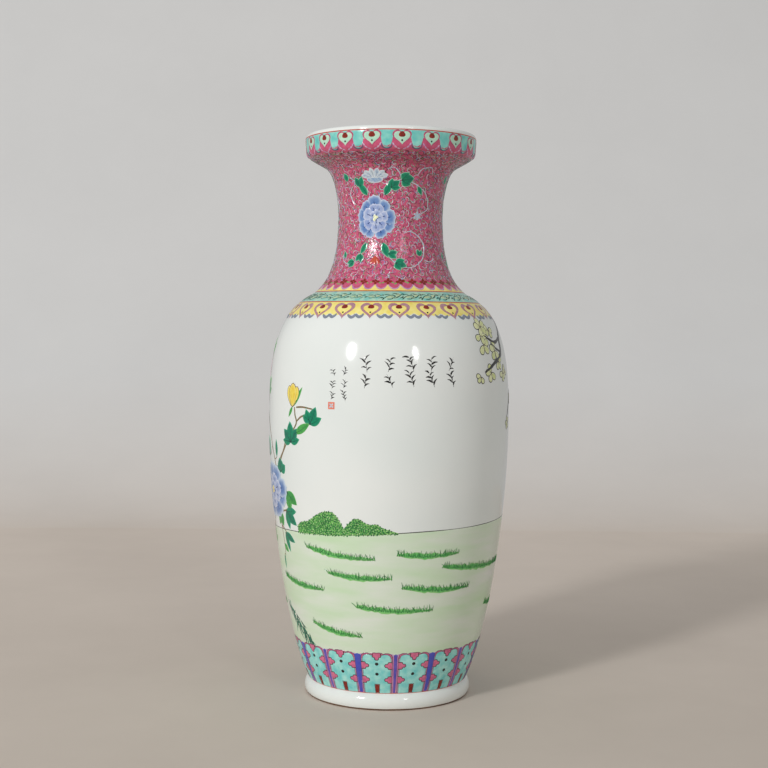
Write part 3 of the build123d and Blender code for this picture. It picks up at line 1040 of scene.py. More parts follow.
def paintCurls(setup):
    marks = []
    for shape in setup["shapes"]:
        line = np.array(shape) * setup["size"]
        mark = newSheet()
        addBrush(mark, line, tapered(len(line), setup["width"], 0.6, 0.3), 0.14)
        marks.append(mark)
    high, reach = runAt(setup["high"]), pi * setup["girth"]
    for name, (material, gap, seed, lowest) in setup["kinds"].items():
        low = runAt(lowest)
        corners = np.array([(-reach, low, 0), (reach, low, 0), (reach, high, 0), (-reach, high, 0)]) * mm
        field = meshObject("field", corners, faces=[(0, 1, 2, 3)])
        paintMarks("neckCurls" + name, field, marks, material, "rose_enamel", setup["girth"], scatterTree,
                   {"Gap": gap * mm, "Smallest": 0.7, "Largest": 1.25, "Lift": roseThickness * mm,
                    "Seed": seed})
    print("neck curls painted")


paintCurls(neckCurls)


def petalLine(width, length, scallops=3, count=18):
    t = np.linspace(0, 2 * pi, count, endpoint=False)
    top = np.clip(np.cos(t), 0, 1)
    swell = 1 + 0.07 * np.cos(t * 2 * scallops) * top
    across = width / 2 * np.sin(t) * (0.72 + 0.28 * np.cos(t)) * swell
    return np.column_stack([across, length / 2 * np.cos(t) * swell])


peonyRows = ((9, 0.325, 0.38), (7, 0.2, 0.30), (5, 0.09,
                                                0.21))     # petals, reach and size as shares of the width


# A full peony: rings of scalloped petals that overlap inwards, short streaks in each, stamens in the middle.
def addPeony(parts, x, y, width, height, turn=0, level=0.2, seed=1, fine=1.0):
    chance = Random(seed)
    stretch = height / width
    for row, (count, reach, size) in enumerate(peonyRows):
        petals = "outer" if row == 0 else "inner"
        for k in range(count):
            angle = 360 * k / count + 24 * row + chance.uniform(-10, 10) + turn
            length = size * width * chance.uniform(0.88, 1.16)
            petal = turned(petalLine(length * 1.18, length, 5, 26), angle)
            spot = (-sin(radians(angle)) * reach * width, cos(radians(angle)) * reach * width)
            outline = (petal + spot) * (1, stretch) + (x, y)
            base = level + 0.09 * row + 0.02 * (k % 2)
            addPuddle(parts[petals], outline, 0.22, base, tone=chance.uniform(0.2, 0.8),
                      rimWidth=0.21 * length)
            for fan in (-26, -9, 9, 26):
                streak = [(0, -0.34 * length), (0, -0.05 * length), (0, 0.22 * length)]
                streak = turned(streak, angle + fan * 0.7)
                streak = (smoothLine(streak, 3) + spot) * (1, stretch) + (x, y)
                wide = chance.uniform(0.7, 1.3) * fine
                addBrush(parts["streak"], streak, tapered(len(streak), wide, 0.9, 0.2), 0.08, base + 0.2)
    for k in range(9):
        angle, away = chance.uniform(0, 2 * pi), width * chance.uniform(0.005, 0.07)
        spot = (x + away * sin(angle), y + away * cos(angle) * stretch)
        bead = turned(oval(1.5 * fine, 2.6 * fine, 8), 57 * angle, 1, *spot)
        addPuddle(parts["heart"], bead, 0.16, level + 0.42, 3)


def leafLine(length, width, count=11):
    t = np.linspace(0, 1, count)
    half = width / 2 * np.sin(pi * t ** 0.85) ** 0.9
    up = np.column_stack([-half, t * length])
    return np.vstack([up, np.column_stack([half, t * length])[-2:0:-1]])


# A leaf of one or more pointed lobes that share a foot, each with a dark vein.
def addLeaf(parts, x, y, length, width, turn, lobes=1, fan=32, level=0.0, kind="leaf", height=0.24):
    for k in range(lobes):
        side = k - (lobes - 1) / 2
        size = 1 - 0.16 * abs(side)
        angle = turn + fan * side
        outline = turned(leafLine(length * size, width * size), angle, 1, x, y)
        addPuddle(parts[kind], outline, height, level, tone=0.25 + 0.5 * (k % 2), rimWidth=0.8)
        if "leafEdge" in parts:
            addBrush(parts["leafEdge"], outline, 0.55, 0.1, level + 0.12, closed=True)
        vein = smoothLine([(0, 0), (0.03 * length, 0.4 * length), (0, 0.86 * length)], 3)
        widths = tapered(len(vein), 0.11 * width + 0.25, 0.8, 0.2)
        addBrush(parts["vein"], turned(vein, angle, size, x, y), widths, 0.07, level + height * 0.9)


neckFlower = {
    "turns": (-16, 104, 224),
    "height": 516.9,
    "girth": 57.5,
    "flower": (40, 45),
    # the first spot of each leaf is its foot: x, y from the flower's middle, length, width, turn, lobes
    "leaves": ((-9, 24, 15, 5.0, 34, 1), (-17, 33, 11, 5.4, 4, 2), (-33, 40, 8, 5.0, 10, 1),
               (10, 24, 13, 5.0, -24, 1), (16, 32, 10, 5.4, -50, 3), (27, 40, 11, 8.0, -80, 3),
               (45, 34, 9, 3.6, -150, 1), (-9, -26, 12, 4.4, 152, 1), (-15, -38, 9, 4.6, 168, 2),
               (-22, -46, 8, 5.0, 120, 2), (-35, -42, 7, 3.0, 20, 1), (8, -26, 15, 5.4, -160, 1),
               (14, -38, 9, 4.8, -100, 2), (21, -48, 10, 6.0, -110, 3), (46, -40, 7, 3.4, -10, 2)),
    "vines": (((10, 24), (15, 34), (30, 42), (38, 38), (46, 34), (56, 26), (60, 12), (52, 6), (47, 2)),
              ((43, 46), (47, 53), (57, 55), (60, 47)), ((27, 42), (23, 50), (18, 54), (13, 52)),
              ((30, -16), (38, -14), (48, -20), (53, -30), (49, -44), (36, -53), (26, -50), (20, -38)),
              ((-9, 24), (-17, 36), (-30, 44)), ((-9, -26), (-15, -38), (-24, -49), (-36, -46), (-40, -38)),
              ((8, -26), (14, -40), (22, -50)), ((-26, 14), (-31, 26), (-27, 34)),
              ((52, -44), (58, -46), (66, -42))),
}


def paintNeckFlowers(setup):
    paints = {"outer": petalBlue, "inner": petalLilac, "streak": blueLine, "heart": blossomGreen,
              "leaf": leafGreen, "leafEdge": mintLine, "vein": darkLeaf, "vine": paleScroll,
              "bud": paleBud, "orange": coralRed}
    parts = {name: newSheet() for name in paints}
    rise = runAt(setup["height"])
    for turn in setup["turns"]:
        one = {name: newSheet() for name in parts}
        addPeony(one, 0, 0, *setup["flower"], level=0.3, seed=6, fine=1.35)
        for x, y, length, width, angle, lobes in setup["leaves"]:
            addLeaf(one, x, y, length * 1.16, width * 1.4, angle, lobes, 40, 0.26)
        for vine in setup["vines"]:
            line = smoothLine(vine, 6)
            addBrush(one["vine"], line, tapered(len(line), 1.2, 0.6, 0.5), 0.2, 0.24)
        addPuddle(one["bud"], oval(17, 8, 14) + (0, 40.8), 0.2, 0.26, tone=0.7)
        for k in range(6):             # the pale bud above the flower, and the small flower on the vine
            angle = -75 + 30 * k
            spot = (-8 * sin(radians(angle)), 43 + 4.5 * cos(radians(angle)))
            petal = turned(petalLine(6.6, 11.5), angle, 1, *spot)
            streak = turned([(0, -4), (0.4, 0), (0, 3.4)], angle, 1, *spot)
            addPuddle(one["bud"], petal, 0.2, 0.3 + 0.03 * k, tone=0.2 * (k % 3), rimWidth=1.4)
            addBrush(one["streak"], streak, [0.3, 0.8, 0.2], 0.08, 0.48 + 0.03 * k)
            spot = (46 - 2.4 * sin(pi / 3 * k), 3 + 2.4 * cos(pi / 3 * k))
            petal = turned(petalLine(3.0, 4.6), 60 * k, 1, *spot)
            addPuddle(one["bud"], petal, 0.2, 0.3 + 0.02 * (k % 2), tone=0.8, rimWidth=0.6)
        for side in (-1, 0, 1):
            petal = turned(petalLine(4.2, 9), 180 + 24 * side, 1, 1 + 2.4 * side, -45)
            addPuddle(one["orange"], petal, 0.24, 0.3, tone=0.3)
        for name, sheet in one.items():
            moved = np.array(sheet["points"]) + (radians(turn) * setup["girth"], rise, 0)
            addShape(parts[name], moved, sheet["faces"], sheet["rim"], 0)
            parts[name]["tone"][-len(sheet["tone"]):] = sheet["tone"]
    paints = {name: (material, "rose_enamel") for name, material in paints.items()}
    paintParts("neck", parts, paints, setup["girth"])
    print("neck flowers painted")


mintLine = makeEnamel("mintLine", (176, 220, 190), (140, 200, 170), grain=400)
paleBud = makeEnamel("paleBud", (196, 208, 214), (130, 160, 196), rimColour=(224, 230, 232), grain=400)
paintNeckFlowers(neckFlower)


lappets = {
    "ring": {"count": 16, "turn": -6.6, "height": heights["footWaist"] + 0.2, "lean": 0.6, "spread": 0.0,
             "seed": 2},
    "width": 31.2,
    "top": 49.6,               # along the wall from the foot waist
    "border": 1.35,
    "girth": 95,
    "notches": ((12.4, 34.5, 90), (-12.4, 34.5, -90), (12.4, 17.5, 90), (-12.4, 17.5, -90), (0, 45.3, 180)),
    "notchSize": 1.2,
    "trefoil": ((-3.2, -2.6), (-3.4, 0.4), (-1.7, 1.2), (-1.5, 2.9), (0, 3.7), (1.5, 2.9),
                (1.7, 1.2), (3.4, 0.4), (3.2, -2.6)),
    "eyes": (36.5, 24.5),
    "eyeWidth": 3.7,
    "slot": ((-2.0, 1), (-2.5, 12.0), (2.5, 12.0), (2.0, 1)),
    "slotLine": ((-2.2, 1), (-2.8, 12.4), (2.8, 12.4), (2.2, 1)),
}


def panelLine(half, low, top):
    side = [(half, low), (half, top - 5.5), (half - 0.9, top - 2.6), (half - 3.4, top - 0.9),
            (half - 6.8, top - 0.7), (half - 9.0, top - 1.7), (half - 11.0, top - 0.6),
            (half - 13.4, top - 0.2)]
    return side + [(0, top - 0.5)] + [(-x, y) for x, y in side[::-1]]


def paintLappets(setup):
    ring, half, top, border = setup["ring"], setup["width"] / 2, setup["top"], setup["border"]
    topHeight = float(np.interp(top, wallRun, wall[:, 1]))

    def upperEdge(angle):
        return topHeight - 0.9 - 2.4 * max(0.0, (abs(phaseAt(angle, ring)) - 0.4) / 0.1) ** 2

    paintCoat("lappetGround", heights["footWaist"] + 0.2, upperEdge, 0.16, 16, paleLilac, "turquoise_enamel",
              "lappet_band_enamel", columns=640)
    paints = {"border": (lappetPink, "rose_enamel"), "panel": (panelTurquoise, "turquoise_enamel"),
              "edge": (mauveLine, "red_enamel"), "notch": (lappetPink, "rose_enamel"),
              "notchLine": (inkLine, "red_enamel"), "eye": (inkLine, "turquoise_enamel"),
              "slot": (ironRed, "red_enamel"), "slotLine": (inkLine, "red_enamel"),
              "pinkStripe": (lappetPink, "rose_enamel"), "whiteStripe": (paleScroll, "rose_enamel")}
    parts = {name: newSheet() for name in paints}
    addPuddle(parts["border"], panelLine(half, 0.6, top), 0.1, 0.14, 3, tone=0.7)
    addPuddle(parts["panel"], panelLine(half - border, 0.6, top - border), 0.14, 0.22, 3, rimWidth=1.2)
    addBrush(parts["edge"], panelLine(half, 0.6, top), 0.95, 0.26, 0.16)
    addBrush(parts["edge"], panelLine(half - border, 0.6, top - border), 0.7, 0.2, 0.26)
    for x, y, lean in setup["notches"]:
        trefoil = turned(setup["trefoil"], lean, setup["notchSize"], x, y)
        addPuddle(parts["notch"], trefoil, 0.16, 0.3, 2, tone=0.4)
        addBrush(parts["notchLine"], smoothLine(trefoil, 3), 1.15, 0.2, 0.34)
    for y in setup["eyes"]:
        eye = oval(setup["eyeWidth"], setup["eyeWidth"], 10)
        addPuddle(parts["eye"], eye + (0, y), 0.24, 0.3, tone=0.2)
    addPuddle(parts["slot"], setup["slot"], 0.18, 0.3, 2)
    addBrush(parts["slotLine"], setup["slotLine"], 0.7, 0.22, 0.3)
    for side in (-1, 1):
        outside, inside = side * (half + 1.1), side * (half - 0.9)
        addBrush(parts["pinkStripe"], [(outside, 1), (outside, top - 4)], 0.9, 0.16, 0.14)
        addBrush(parts["whiteStripe"], [(inside, 1.4), (inside, top - 7)], 0.7, 0.12, 0.22)
    paintParts("lappet", parts, paints, setup["girth"], ring)
    for name, shift, wide, material in (("lappetBlueStripes", 540 / 16, 7.0, blueEnamel),
                                        ("lappetVioletStripes", 180 / 16, 4.0, violetEnamel)):
        stripe = newSheet()
        leaf = [(-wide * 0.28, 1), (-wide / 2, top - 3), (0, top - 1.6), (wide / 2, top - 3),
                (wide * 0.28, 1)]
        addPuddle(stripe, leaf, 0.2, 0.14, 3)
        between = {**ring, "count": ring["count"] // 2, "turn": ring["turn"] + shift}
        paintRing(name, stripe, material, "turquoise_enamel", between, setup["girth"])
    paintCoat("footLine", heights["footWaist"] - 0.35, heights["footWaist"] + 1.1, 0.3, 3, coralRed,
              "red_enamel", "foot_line_enamel")
    print("foot lappets painted")


violetEnamel = makeEnamel("violetEnamel", (112, 90, 182), (84, 78, 172), grain=220)
panelTurquoise = makeEnamel("panelTurquoise", (176, 234, 224), (112, 206, 204), grain=120)
lappetPink = makeEnamel("lappetPink", (222, 118, 150), (194, 88, 128), grain=260)
mauveLine = makeEnamel("mauveLine", (110, 84, 108), (96, 70, 84), grain=300)
paintLappets(lappets)


# Landscape. Spots on the body are an angle and a height.
def spotAt(angle, height, girth):
    return radians(angle) * girth, runAt(height)


horizon = {"height": 191.3, "tilt": 6, "ripple": 0.35}


def horizonAt(angle):
    ripple = horizon["ripple"] * sin(radians(5 * angle + 40))
    return horizon["height"] + horizon["tilt"] * sin(radians(angle)) + ripple


landscape = {
    "girth": 126,
    "meadowLow": 60.5,
    # the tops of the bushes, left to right; the bottom follows the horizon
    "bushes": (((-49, 194), (-46.5, 198), (-42, 200), (-39, 203.5), (-36, 207.5), (-32, 211.5),
                (-27.5, 211.8), (-25, 208), (-22.8, 201), (-21, 193.5)),
               ((-22, 194), (-19.5, 200), (-16.5, 205.5), (-13.8, 206.2), (-11, 202.5), (-8, 200.6),
                (-5.5, 201.4), (-2.5, 197.6), (4.5, 192.6)),
               ((112, 198), (117, 206), (122, 212), (128, 214.5), (133, 208), (138, 210),
                (143, 203), (149, 197)),
               ((-152, 190), (-147, 197), (-142, 204), (-137, 207), (-131, 201), (-126, 203),
                (-121, 196), (-114, 189))),
    # dots: gap, size, lift, seed
    "dots": {"bushLeaves": (1.9, 2.2, 0.14, 8), "bushShade": (1.9, 1.35, 0.24, 3),
             "bushLights": (2.5, 1.2, 0.26, 15)},
    # a tuft runs from its left end to its right end: angle, height, angle, height
    "tufts": ((-44, 173.0, -6.6, 164.6), (4.3, 170.0, 36.4, 169.2), (27.8, 155.4, 78, 150.0),
              (-31.5, 148.0, 1.6, 144.6), (7.1, 135.0, 45.7, 131.4), (-67.8, 135.0, -35, 128.6),
              (-17, 114.0, 23.8, 110.0), (-45.5, 91.0, -14.7, 81.4), (66.2, 106.6, 96, 104),
              (90, 172, 118, 168), (130, 154, 165, 149), (-170, 166, -135, 161), (-122, 150, -90, 146),
              (100, 132, 135, 127), (158, 120, 190, 117), (-150, 132, -118, 127), (-108, 108, -80, 101),
              (108, 92, 140, 88), (-162, 92, -126, 88), (172, 178, 204, 174)),
}


def paintMeadow(setup):
    girth = setup["girth"]
    paintCoat("meadow", setup["meadowLow"], horizonAt, 0.12, 44, meadowWash, "pale_green_enamel",
              "meadow_enamel")
    ground = newSheet()
    angles = np.arange(-180, 180, 1.5)
    line = [spotAt(angle, horizonAt(angle), girth) for angle in angles]
    widths = [0.9 + 0.4 * sin(radians(7 * angle)) * sin(radians(3 * angle + 20)) for angle in angles]
    line.append(spotAt(180, horizonAt(180), girth))
    addBrush(ground, line, widths + [widths[0]], 0.14, 0.06)
    paintSheet("horizonLine", ground, inkLine, "pale_green_enamel", girth)
    print("meadow painted")


def paintBushes(setup):
    girth = setup["girth"]
    leafMass, field = newSheet(), newSheet()
    for top in setup["bushes"]:
        upper = smoothLine([spotAt(angle, height, girth) for angle, height in top], 4)
        bottoms = np.linspace(top[-1][0], top[0][0], 14)
        lower = [spotAt(angle, horizonAt(angle) - 0.8, girth) for angle in bottoms]
        outline = np.vstack([upper, lower])
        addPuddle(leafMass, outline, 0.14, 0.02, 4, tone=0.4)
        first = len(field["points"])
        field["points"] += [(x, y, 0) for x, y in outline]
        field["faces"].append(tuple(range(first, first + len(outline))))
    paintSheet("bushWash", leafMass, springPale, "pale_green_enamel", girth)
    paints = {"bushLeaves": bushMiddle, "bushShade": bushDeep, "bushLights": bushLight}
    for name, (gap, size, lift, seed) in setup["dots"].items():
        dots = []
        for wide, tall in ((1, 0.8), (0.7, 1.1), (1.2, 0.7)):
            dot = newSheet()
            addPuddle(dot, oval(size * wide, size * tall, 6), 0.14, 0, 5, tone=0.5)
            dots.append(dot)
        source = meshObject("field", np.array(field["points"]) * mm, faces=field["faces"])
        paintMarks(name, source, dots, paints[name], "pale_green_enamel", girth, scatterTree,
                   {"Gap": gap * mm, "Smallest": 0.75, "Largest": 1.3, "Lift": lift * mm, "Seed": seed})
    print("bushes painted")


def paintTufts(setup):
    girth = setup["girth"]
    bar, roots = newSheet(), []
    chance = Random(21)
    for left, leftHeight, right, rightHeight in setup["tufts"]:
        count = max(8, int(abs(right - left) / 1.6))
        share = np.linspace(0, 1, count)
        sag = 2.2 * np.sin(pi * share)
        angles = left + (right - left) * share
        levels = leftHeight + (rightHeight - leftHeight) * share - sag
        spine = np.array([spotAt(angle, level, girth) for angle, level in zip(angles, levels)])
        half = 3.9 * np.sin(pi * np.clip(share, 0.03, 0.97)) ** 0.45 * (1.15 - 0.5 * share)
        up = spine + np.column_stack([np.zeros(count), half * [chance.uniform(0.6, 1.3) for _ in share]])
        down = spine - np.column_stack([np.zeros(count), half * [chance.uniform(0.6, 1.1) for _ in share]])
        addPuddle(bar, np.vstack([up, down[::-1]]), 0.12, 0.1, 2.6, tone=chance.uniform(0.3, 0.6),
                  rimWidth=1.2)
        roots.append(spine)
    paintSheet("tuftWash", bar, grassGreen, "pale_green_enamel", girth)
    blades = []
    for lean in (-26, 4, 30):
        blade = newSheet()
        line = turned(smoothLine([(0, -1.6), (0.35, 2.0), (0, 5.6)], 2), -lean)
        addBrush(blade, line, tapered(len(line), 0.85, 0.8, 0.2, 0.3), 0.14)
        blades.append(blade)
    points = np.vstack([np.column_stack([root, np.zeros(len(root))]) for root in roots])
    starts = np.cumsum([0] + [len(root) for root in roots])
    edges = [(i, i + 1) for a, b in zip(starts, starts[1:]) for i in range(a, b - 1)]
    for name, material, gap, seed in (("tuftBlades", grassBlade, 1.9, 5), ("tuftTips", springGreen, 2.3, 12)):
        source = meshObject("roots", points * mm, edges)
        paintMarks(name, source, blades, material, "pale_green_enamel", girth, rowTree,
                   {"Gap": gap * mm, "Smallest": 0.6, "Largest": 1.2, "Lean": 0.5, "Lift": 0.3 * mm,
                    "Seed": seed})
    print("tufts painted")


springPale = makeEnamel("springPale", (120, 190, 96), (84, 164, 80), rimColour=(150, 206, 120), grain=260)
bushDeep = makeEnamel("bushDeep", (20, 84, 44), (44, 72, 44), grain=260)
bushMiddle = makeEnamel("bushMiddle", (68, 146, 76), (36, 112, 58), grain=260)
bushLight = makeEnamel("bushLight", (202, 224, 172), (158, 204, 130), grain=260)
paintMeadow(landscape)
paintBushes(landscape)
paintTufts(landscape)


# Ink work: small leaf sprigs in columns, with a red square that has a pale flower in it
inkWork = {
    "girth": 129,
    "columns": ((29.3, 15.5, (364.6, 348.6)), (19.2, 15.5, (364.6, 348.6)), (9.8, 15, (364.6, 348.8)),
                (-0.1, 15.5, (364.2, 348.2)), (-11.0, 15.5, (363.5, 347.6)), (-20.6, 9.5, (357, 344, 331)),
                (-26.5, 9.5, (356, 343, 332))),
    "square": (-26.8, 321.6, 7.4),
}


def paintInk(setup):
    leaves, square, flower = newSheet(), newSheet(), newSheet()
    chance = Random(31)
    girth = setup["girth"]
    for angle, size, levels in setup["columns"]:
        for height in levels:
            x, y = spotAt(angle, height, girth)
            lean = chance.uniform(-26, 26)
            stem = turned(smoothLine([(0, -0.5), (0.04, 0), (0, 0.46)], 3), lean, size, x, y)
            addBrush(leaves, stem, tapered(len(stem), 0.05 * size, 0.8, 0.4), 0.12)
            for k in range(chance.choice((4, 5, 6))):
                up = -0.36 + 0.17 * k
                side = 1 if k % 2 else -1
                turn = lean + side * chance.uniform(38, 74)
                length = chance.uniform(0.32, 0.52)
                leaf = turned([(0, 0), (0.06 * side, length * 0.5), (0, length)], turn)
                line = smoothLine(turned(leaf + turned([(0, up)], lean), 0, size, x, y), 3)
                widths = tapered(len(line), chance.uniform(0.13, 0.21) * size, 0.45, 0.12, 0.4)
                addBrush(leaves, line, widths, 0.14, tone=chance.uniform(0, 0.5))
    x, y = spotAt(*setup["square"][:2], girth)
    half = setup["square"][2] / 2
    corners = np.array([(-half, -half), (-half, half), (half, half), (half, -half)])
    addPuddle(square, corners + (x, y), 0.14, 0, 2)
    for k in range(4):
        reach = turned([(0, 0.44 * half)], 45 + 90 * k, 1, x, y)[0]
        addPuddle(flower, turned(oval(0.42 * half, 0.74 * half, 10), 45 + 90 * k, 1, *reach), 0.1, 0.14, 2)
    paintSheet("inkSprigs", leaves, inkLine, "glazed_porcelain", girth)
    paintSheet("redSquare", square, sealRed, "red_enamel", girth)
    paintSheet("redSquareFlower", flower, paleScroll, "glazed_porcelain", girth)
    print("ink sprigs painted")


paintInk(inkWork)


# Peony bush, which reaches round from the left to the back
peonyBush = {
    "girth": 131,
    # flower: angle, height, width, height of it, turn, colour
    "flowers": ((-74, 226, 74, 56, 10, "blue"), (-112, 296, 62, 56, 40, "pink"),
                (-140, 226, 58, 50, 80, "blue"), (-96, 356, 40, 36, 0, "pink")),
    "stems": (((-48.7, 318), (-48.2, 310), (-47.3, 301), (-52, 288), (-59.6, 266), (-66, 246)),
              ((-47.4, 318), (-43, 318.6), (-37, 317)), ((-47.3, 303), (-43.5, 309), (-38, 311)),
              ((-56, 282), (-58, 272), (-62, 262)), ((-66, 203), (-65, 185), (-64, 166), (-66.5, 148)),
              ((-65, 190), (-60, 183), (-57, 179)), ((-65, 205), (-58, 208), (-55, 214)),
              ((-75, 202), (-84, 170), (-92, 140), (-98, 112)),
              ((-112, 272), (-108, 220), (-100, 170), (-98, 112)), ((-96, 340), (-102, 318), (-108, 300)),
              ((-140, 204), (-128, 168), (-108, 134), (-98, 112)), ((-80, 300), (-92, 316), (-96, 340)),
              ((-66, 246), (-74, 280), (-80, 300))),
    # leaf: angle and height of its foot, length, width, turn, lobes, fan, colour
    "leaves": ((-38.4, 301, 20, 11, -22, 3, 42, "teal"), (-38, 304, 13, 10, 60, 1, 0, "teal"),
               (-51.5, 281, 22, 13, 4, 5, 40, "teal"), (-48, 290.5, 25, 9.0, -62, 1, 0, "spring"),
               (-66, 263, 19, 7.0, 2, 1, 0, "teal"), (-61.5, 248, 15, 14, 10, 3, 62, "teal"),
               (-56.5, 228, 24, 13, -146, 2, 40, "spring"), (-58.5, 207, 24, 11.5, -126, 3, 38, "teal"),
               (-65, 204, 17, 11.0, 176, 2, 44, "spring"), (-61.5, 183, 24, 9.0, -136, 2, 44, "teal"),
               (-64.5, 170, 13, 7.0, -128, 1, 0, "spring"), (-66, 158, 16, 4.0, 178, 1, 0, "teal"),
               (-80, 262, 24, 10, 30, 3, 34, "teal"), (-92, 236, 24, 10, -70, 3, 34, "spring"),
               (-90, 190, 24, 10, 60, 3, 34, "teal"), (-84, 168, 20, 8, -50, 2, 34, "spring"),
               (-96, 262, 26, 10, 70, 3, 34, "teal"), (-126, 262, 26, 11, -40, 3, 34, "spring"),
               (-118, 330, 24, 10, 20, 3, 34, "teal"), (-110, 232, 24, 10, 90, 3, 34, "teal"),
               (-122, 196, 26, 11, -20, 3, 34, "spring"), (-108, 164, 24, 10, 60, 3, 34, "teal"),
               (-156, 250, 24, 10, 60, 3, 34, "teal"), (-148, 190, 24, 10, 140, 3, 34, "spring"),
               (-84, 330, 22, 9, -40, 3, 34, "spring"), (-104, 380, 20, 8, 30, 2, 34, "teal"),
               (-86, 372, 20, 8, -30, 2, 34, "spring"), (-98, 132, 20, 7, -60, 2, 40, "teal")),
    # bud: angle, height, width, height of it; its petals: lean, size; its leaves: lean, length, width, colour
    "bud": (-50.2, 318.5, 25, 23.5),
    "budPetals": ((16, 0.9), (-18, 0.88), (0, 1.0)),
    "budLeaves": ((-34, 25, 5.4, "spring"), (150, 13, 4.0, "spring"), (30, 9, 4.4, "spring"),
                  (-8, 8, 5.0, "teal")),
}


def paintPeonies(setup):
    girth = setup["girth"]
    paints = {
        "blueOuter": (petalBlue, "rose_enamel"), "blueInner": (petalLilac, "rose_enamel"),
        "pinkOuter": (petalPink, "rose_enamel"), "pinkInner": (petalRose, "rose_enamel"),
        "streak": (blueLine, "rose_enamel"), "heart": (petalYellow, "yellow_enamel"),
        "teal": (leafGreen, "turquoise_enamel"), "spring": (springGreen, "pale_green_enamel"),
        "vein": (darkLeaf, "turquoise_enamel"), "stem": (stemBrown, "red_enamel"),
        "bud": (petalYellow, "yellow_enamel"), "budLine": (brownLine, "red_enamel")}
    parts = {name: newSheet() for name in paints}
    for number, (angle, height, wide, tall, turn, colour) in enumerate(setup["flowers"]):
        flower = {"outer": parts[colour + "Outer"], "inner": parts[colour + "Inner"],
                  "streak": parts["streak"], "heart": parts["heart"]}
        addPeony(flower, *spotAt(angle, height, girth), wide, tall, turn, level=0.24, seed=40 + number,
                 fine=1.6)
    stemSpots = []
    for stem in setup["stems"]:
        line = smoothLine([spotAt(angle, height, girth) for angle, height in stem], 5)
        addBrush(parts["stem"], line, tapered(len(line), 2.0, 0.8, 0.7), 0.16, 0.1)
        stemSpots.append(line)
    stemSpots = np.vstack(stemSpots)
    for angle, height, length, width, turn, lobes, fan, colour in setup["leaves"]:
        foot = np.array(spotAt(angle, height, girth))
        addLeaf(parts, *foot, length, width, turn, lobes, fan, 0.06, colour, 0.2)
        near = stemSpots[np.argmin(np.linalg.norm(stemSpots - foot, axis=1))]
        if np.linalg.norm(near - foot) > 2:                       # a stalk from the nearest stem
            bow = (near + foot) / 2 - turned([(0, 0.12 * np.linalg.norm(near - foot))], turn)[0]
            stalk = smoothLine([near, bow, foot], 5)
            addBrush(parts["stem"], stalk, tapered(len(stalk), 1.3, 0.9, 0.8), 0.14, 0.1)
    angle, height, wide, tall = setup["bud"]
    x, y = spotAt(angle, height, girth)
    for k, (lean, size) in enumerate(setup["budPetals"]):
        spot = (x - lean * 0.22, y + tall * 0.5 * size)
        petal = turned(petalLine(wide * 0.62 * size, tall * size, 2), lean, 1, *spot)
        addPuddle(parts["bud"], petal, 0.24, 0.1 + 0.05 * k, tone=0.3 * k, rimWidth=2)
        addBrush(parts["budLine"], petal, 0.85, 0.14, 0.2 + 0.05 * k, closed=True)
    for k, (lean, length, width, colour) in enumerate(setup["budLeaves"]):
        addLeaf(parts, x + (0 if k else 1.2), y, length, width, lean, 1, 0, 0.12, colour, 0.2)
    paintParts("peony", parts, paints, girth)
    print("peony bush painted")


petalRose = makeEnamel("petalRose", (226, 140, 166), (206, 96, 136), rimColour=(244, 214, 222), grain=300)
paintPeonies(peonyBush)


blossomBranch = {
    "girth": 128,
    # wood: spots with the width there
    "wood": (((128, 196, 8), (132, 240, 6.5), (126, 290, 5.5), (118, 336, 4.5), (106, 384, 4.4),
              (90, 412, 4.6), (80, 402, 4.6), (72.5, 390, 5.2), (69.6, 375, 5.0), (60, 365, 4.0),
              (50.5, 355, 2.4)),
             ((72, 391, 3.0), (63.5, 386.6, 3.4), (54, 393.6, 1.8)),
             ((70, 376, 2.8), (64, 380, 2.4), (59, 386, 1.6)),
             ((118, 336, 2.6), (104, 344, 2.0), (90, 336, 1.6), (80, 322, 1.4), (75, 308, 1.0)),
             ((126, 290, 3), (142, 312, 2.2), (152, 336, 1.6), (150, 356, 1)),
             ((130, 262, 3), (112, 276, 2.2), (100, 270, 1.4)),
             ((106, 384, 2.2), (118, 396, 1.6), (130, 394, 1.0))),
    # blossom: angle, height, size, petals, turn
    "flowers": ((53.5, 402.6, 17, 5, 10), (60.5, 399, 14, 4, 60), (51.5, 393.5, 15, 3, 120),
                (52, 383.5, 17, 3, 150), (62, 377.5, 17, 4, 0), (64.5, 366, 14, 3, 150),
                (55.5, 354.5, 15, 4, 20), (47.2, 350.5, 11, 3, 70), (69, 354, 14, 4, 100),
                (72, 356, 11, 4, 30), (75, 300, 11, 5, 15), (83, 326, 10, 4, 45), (97, 272, 12, 5, 5),
                (92, 341, 12, 5, 60), (110, 352, 13, 5, 30), (148, 358, 12, 5, 0), (152, 338, 11, 4, 50),
                (141, 318, 12, 5, 20), (131, 396, 11, 4, 10), (116, 400, 12, 5, 70), (97, 406, 12, 5, 35),
                (112, 280, 12, 5, 50), (136, 270, 11, 5, 10)),
}


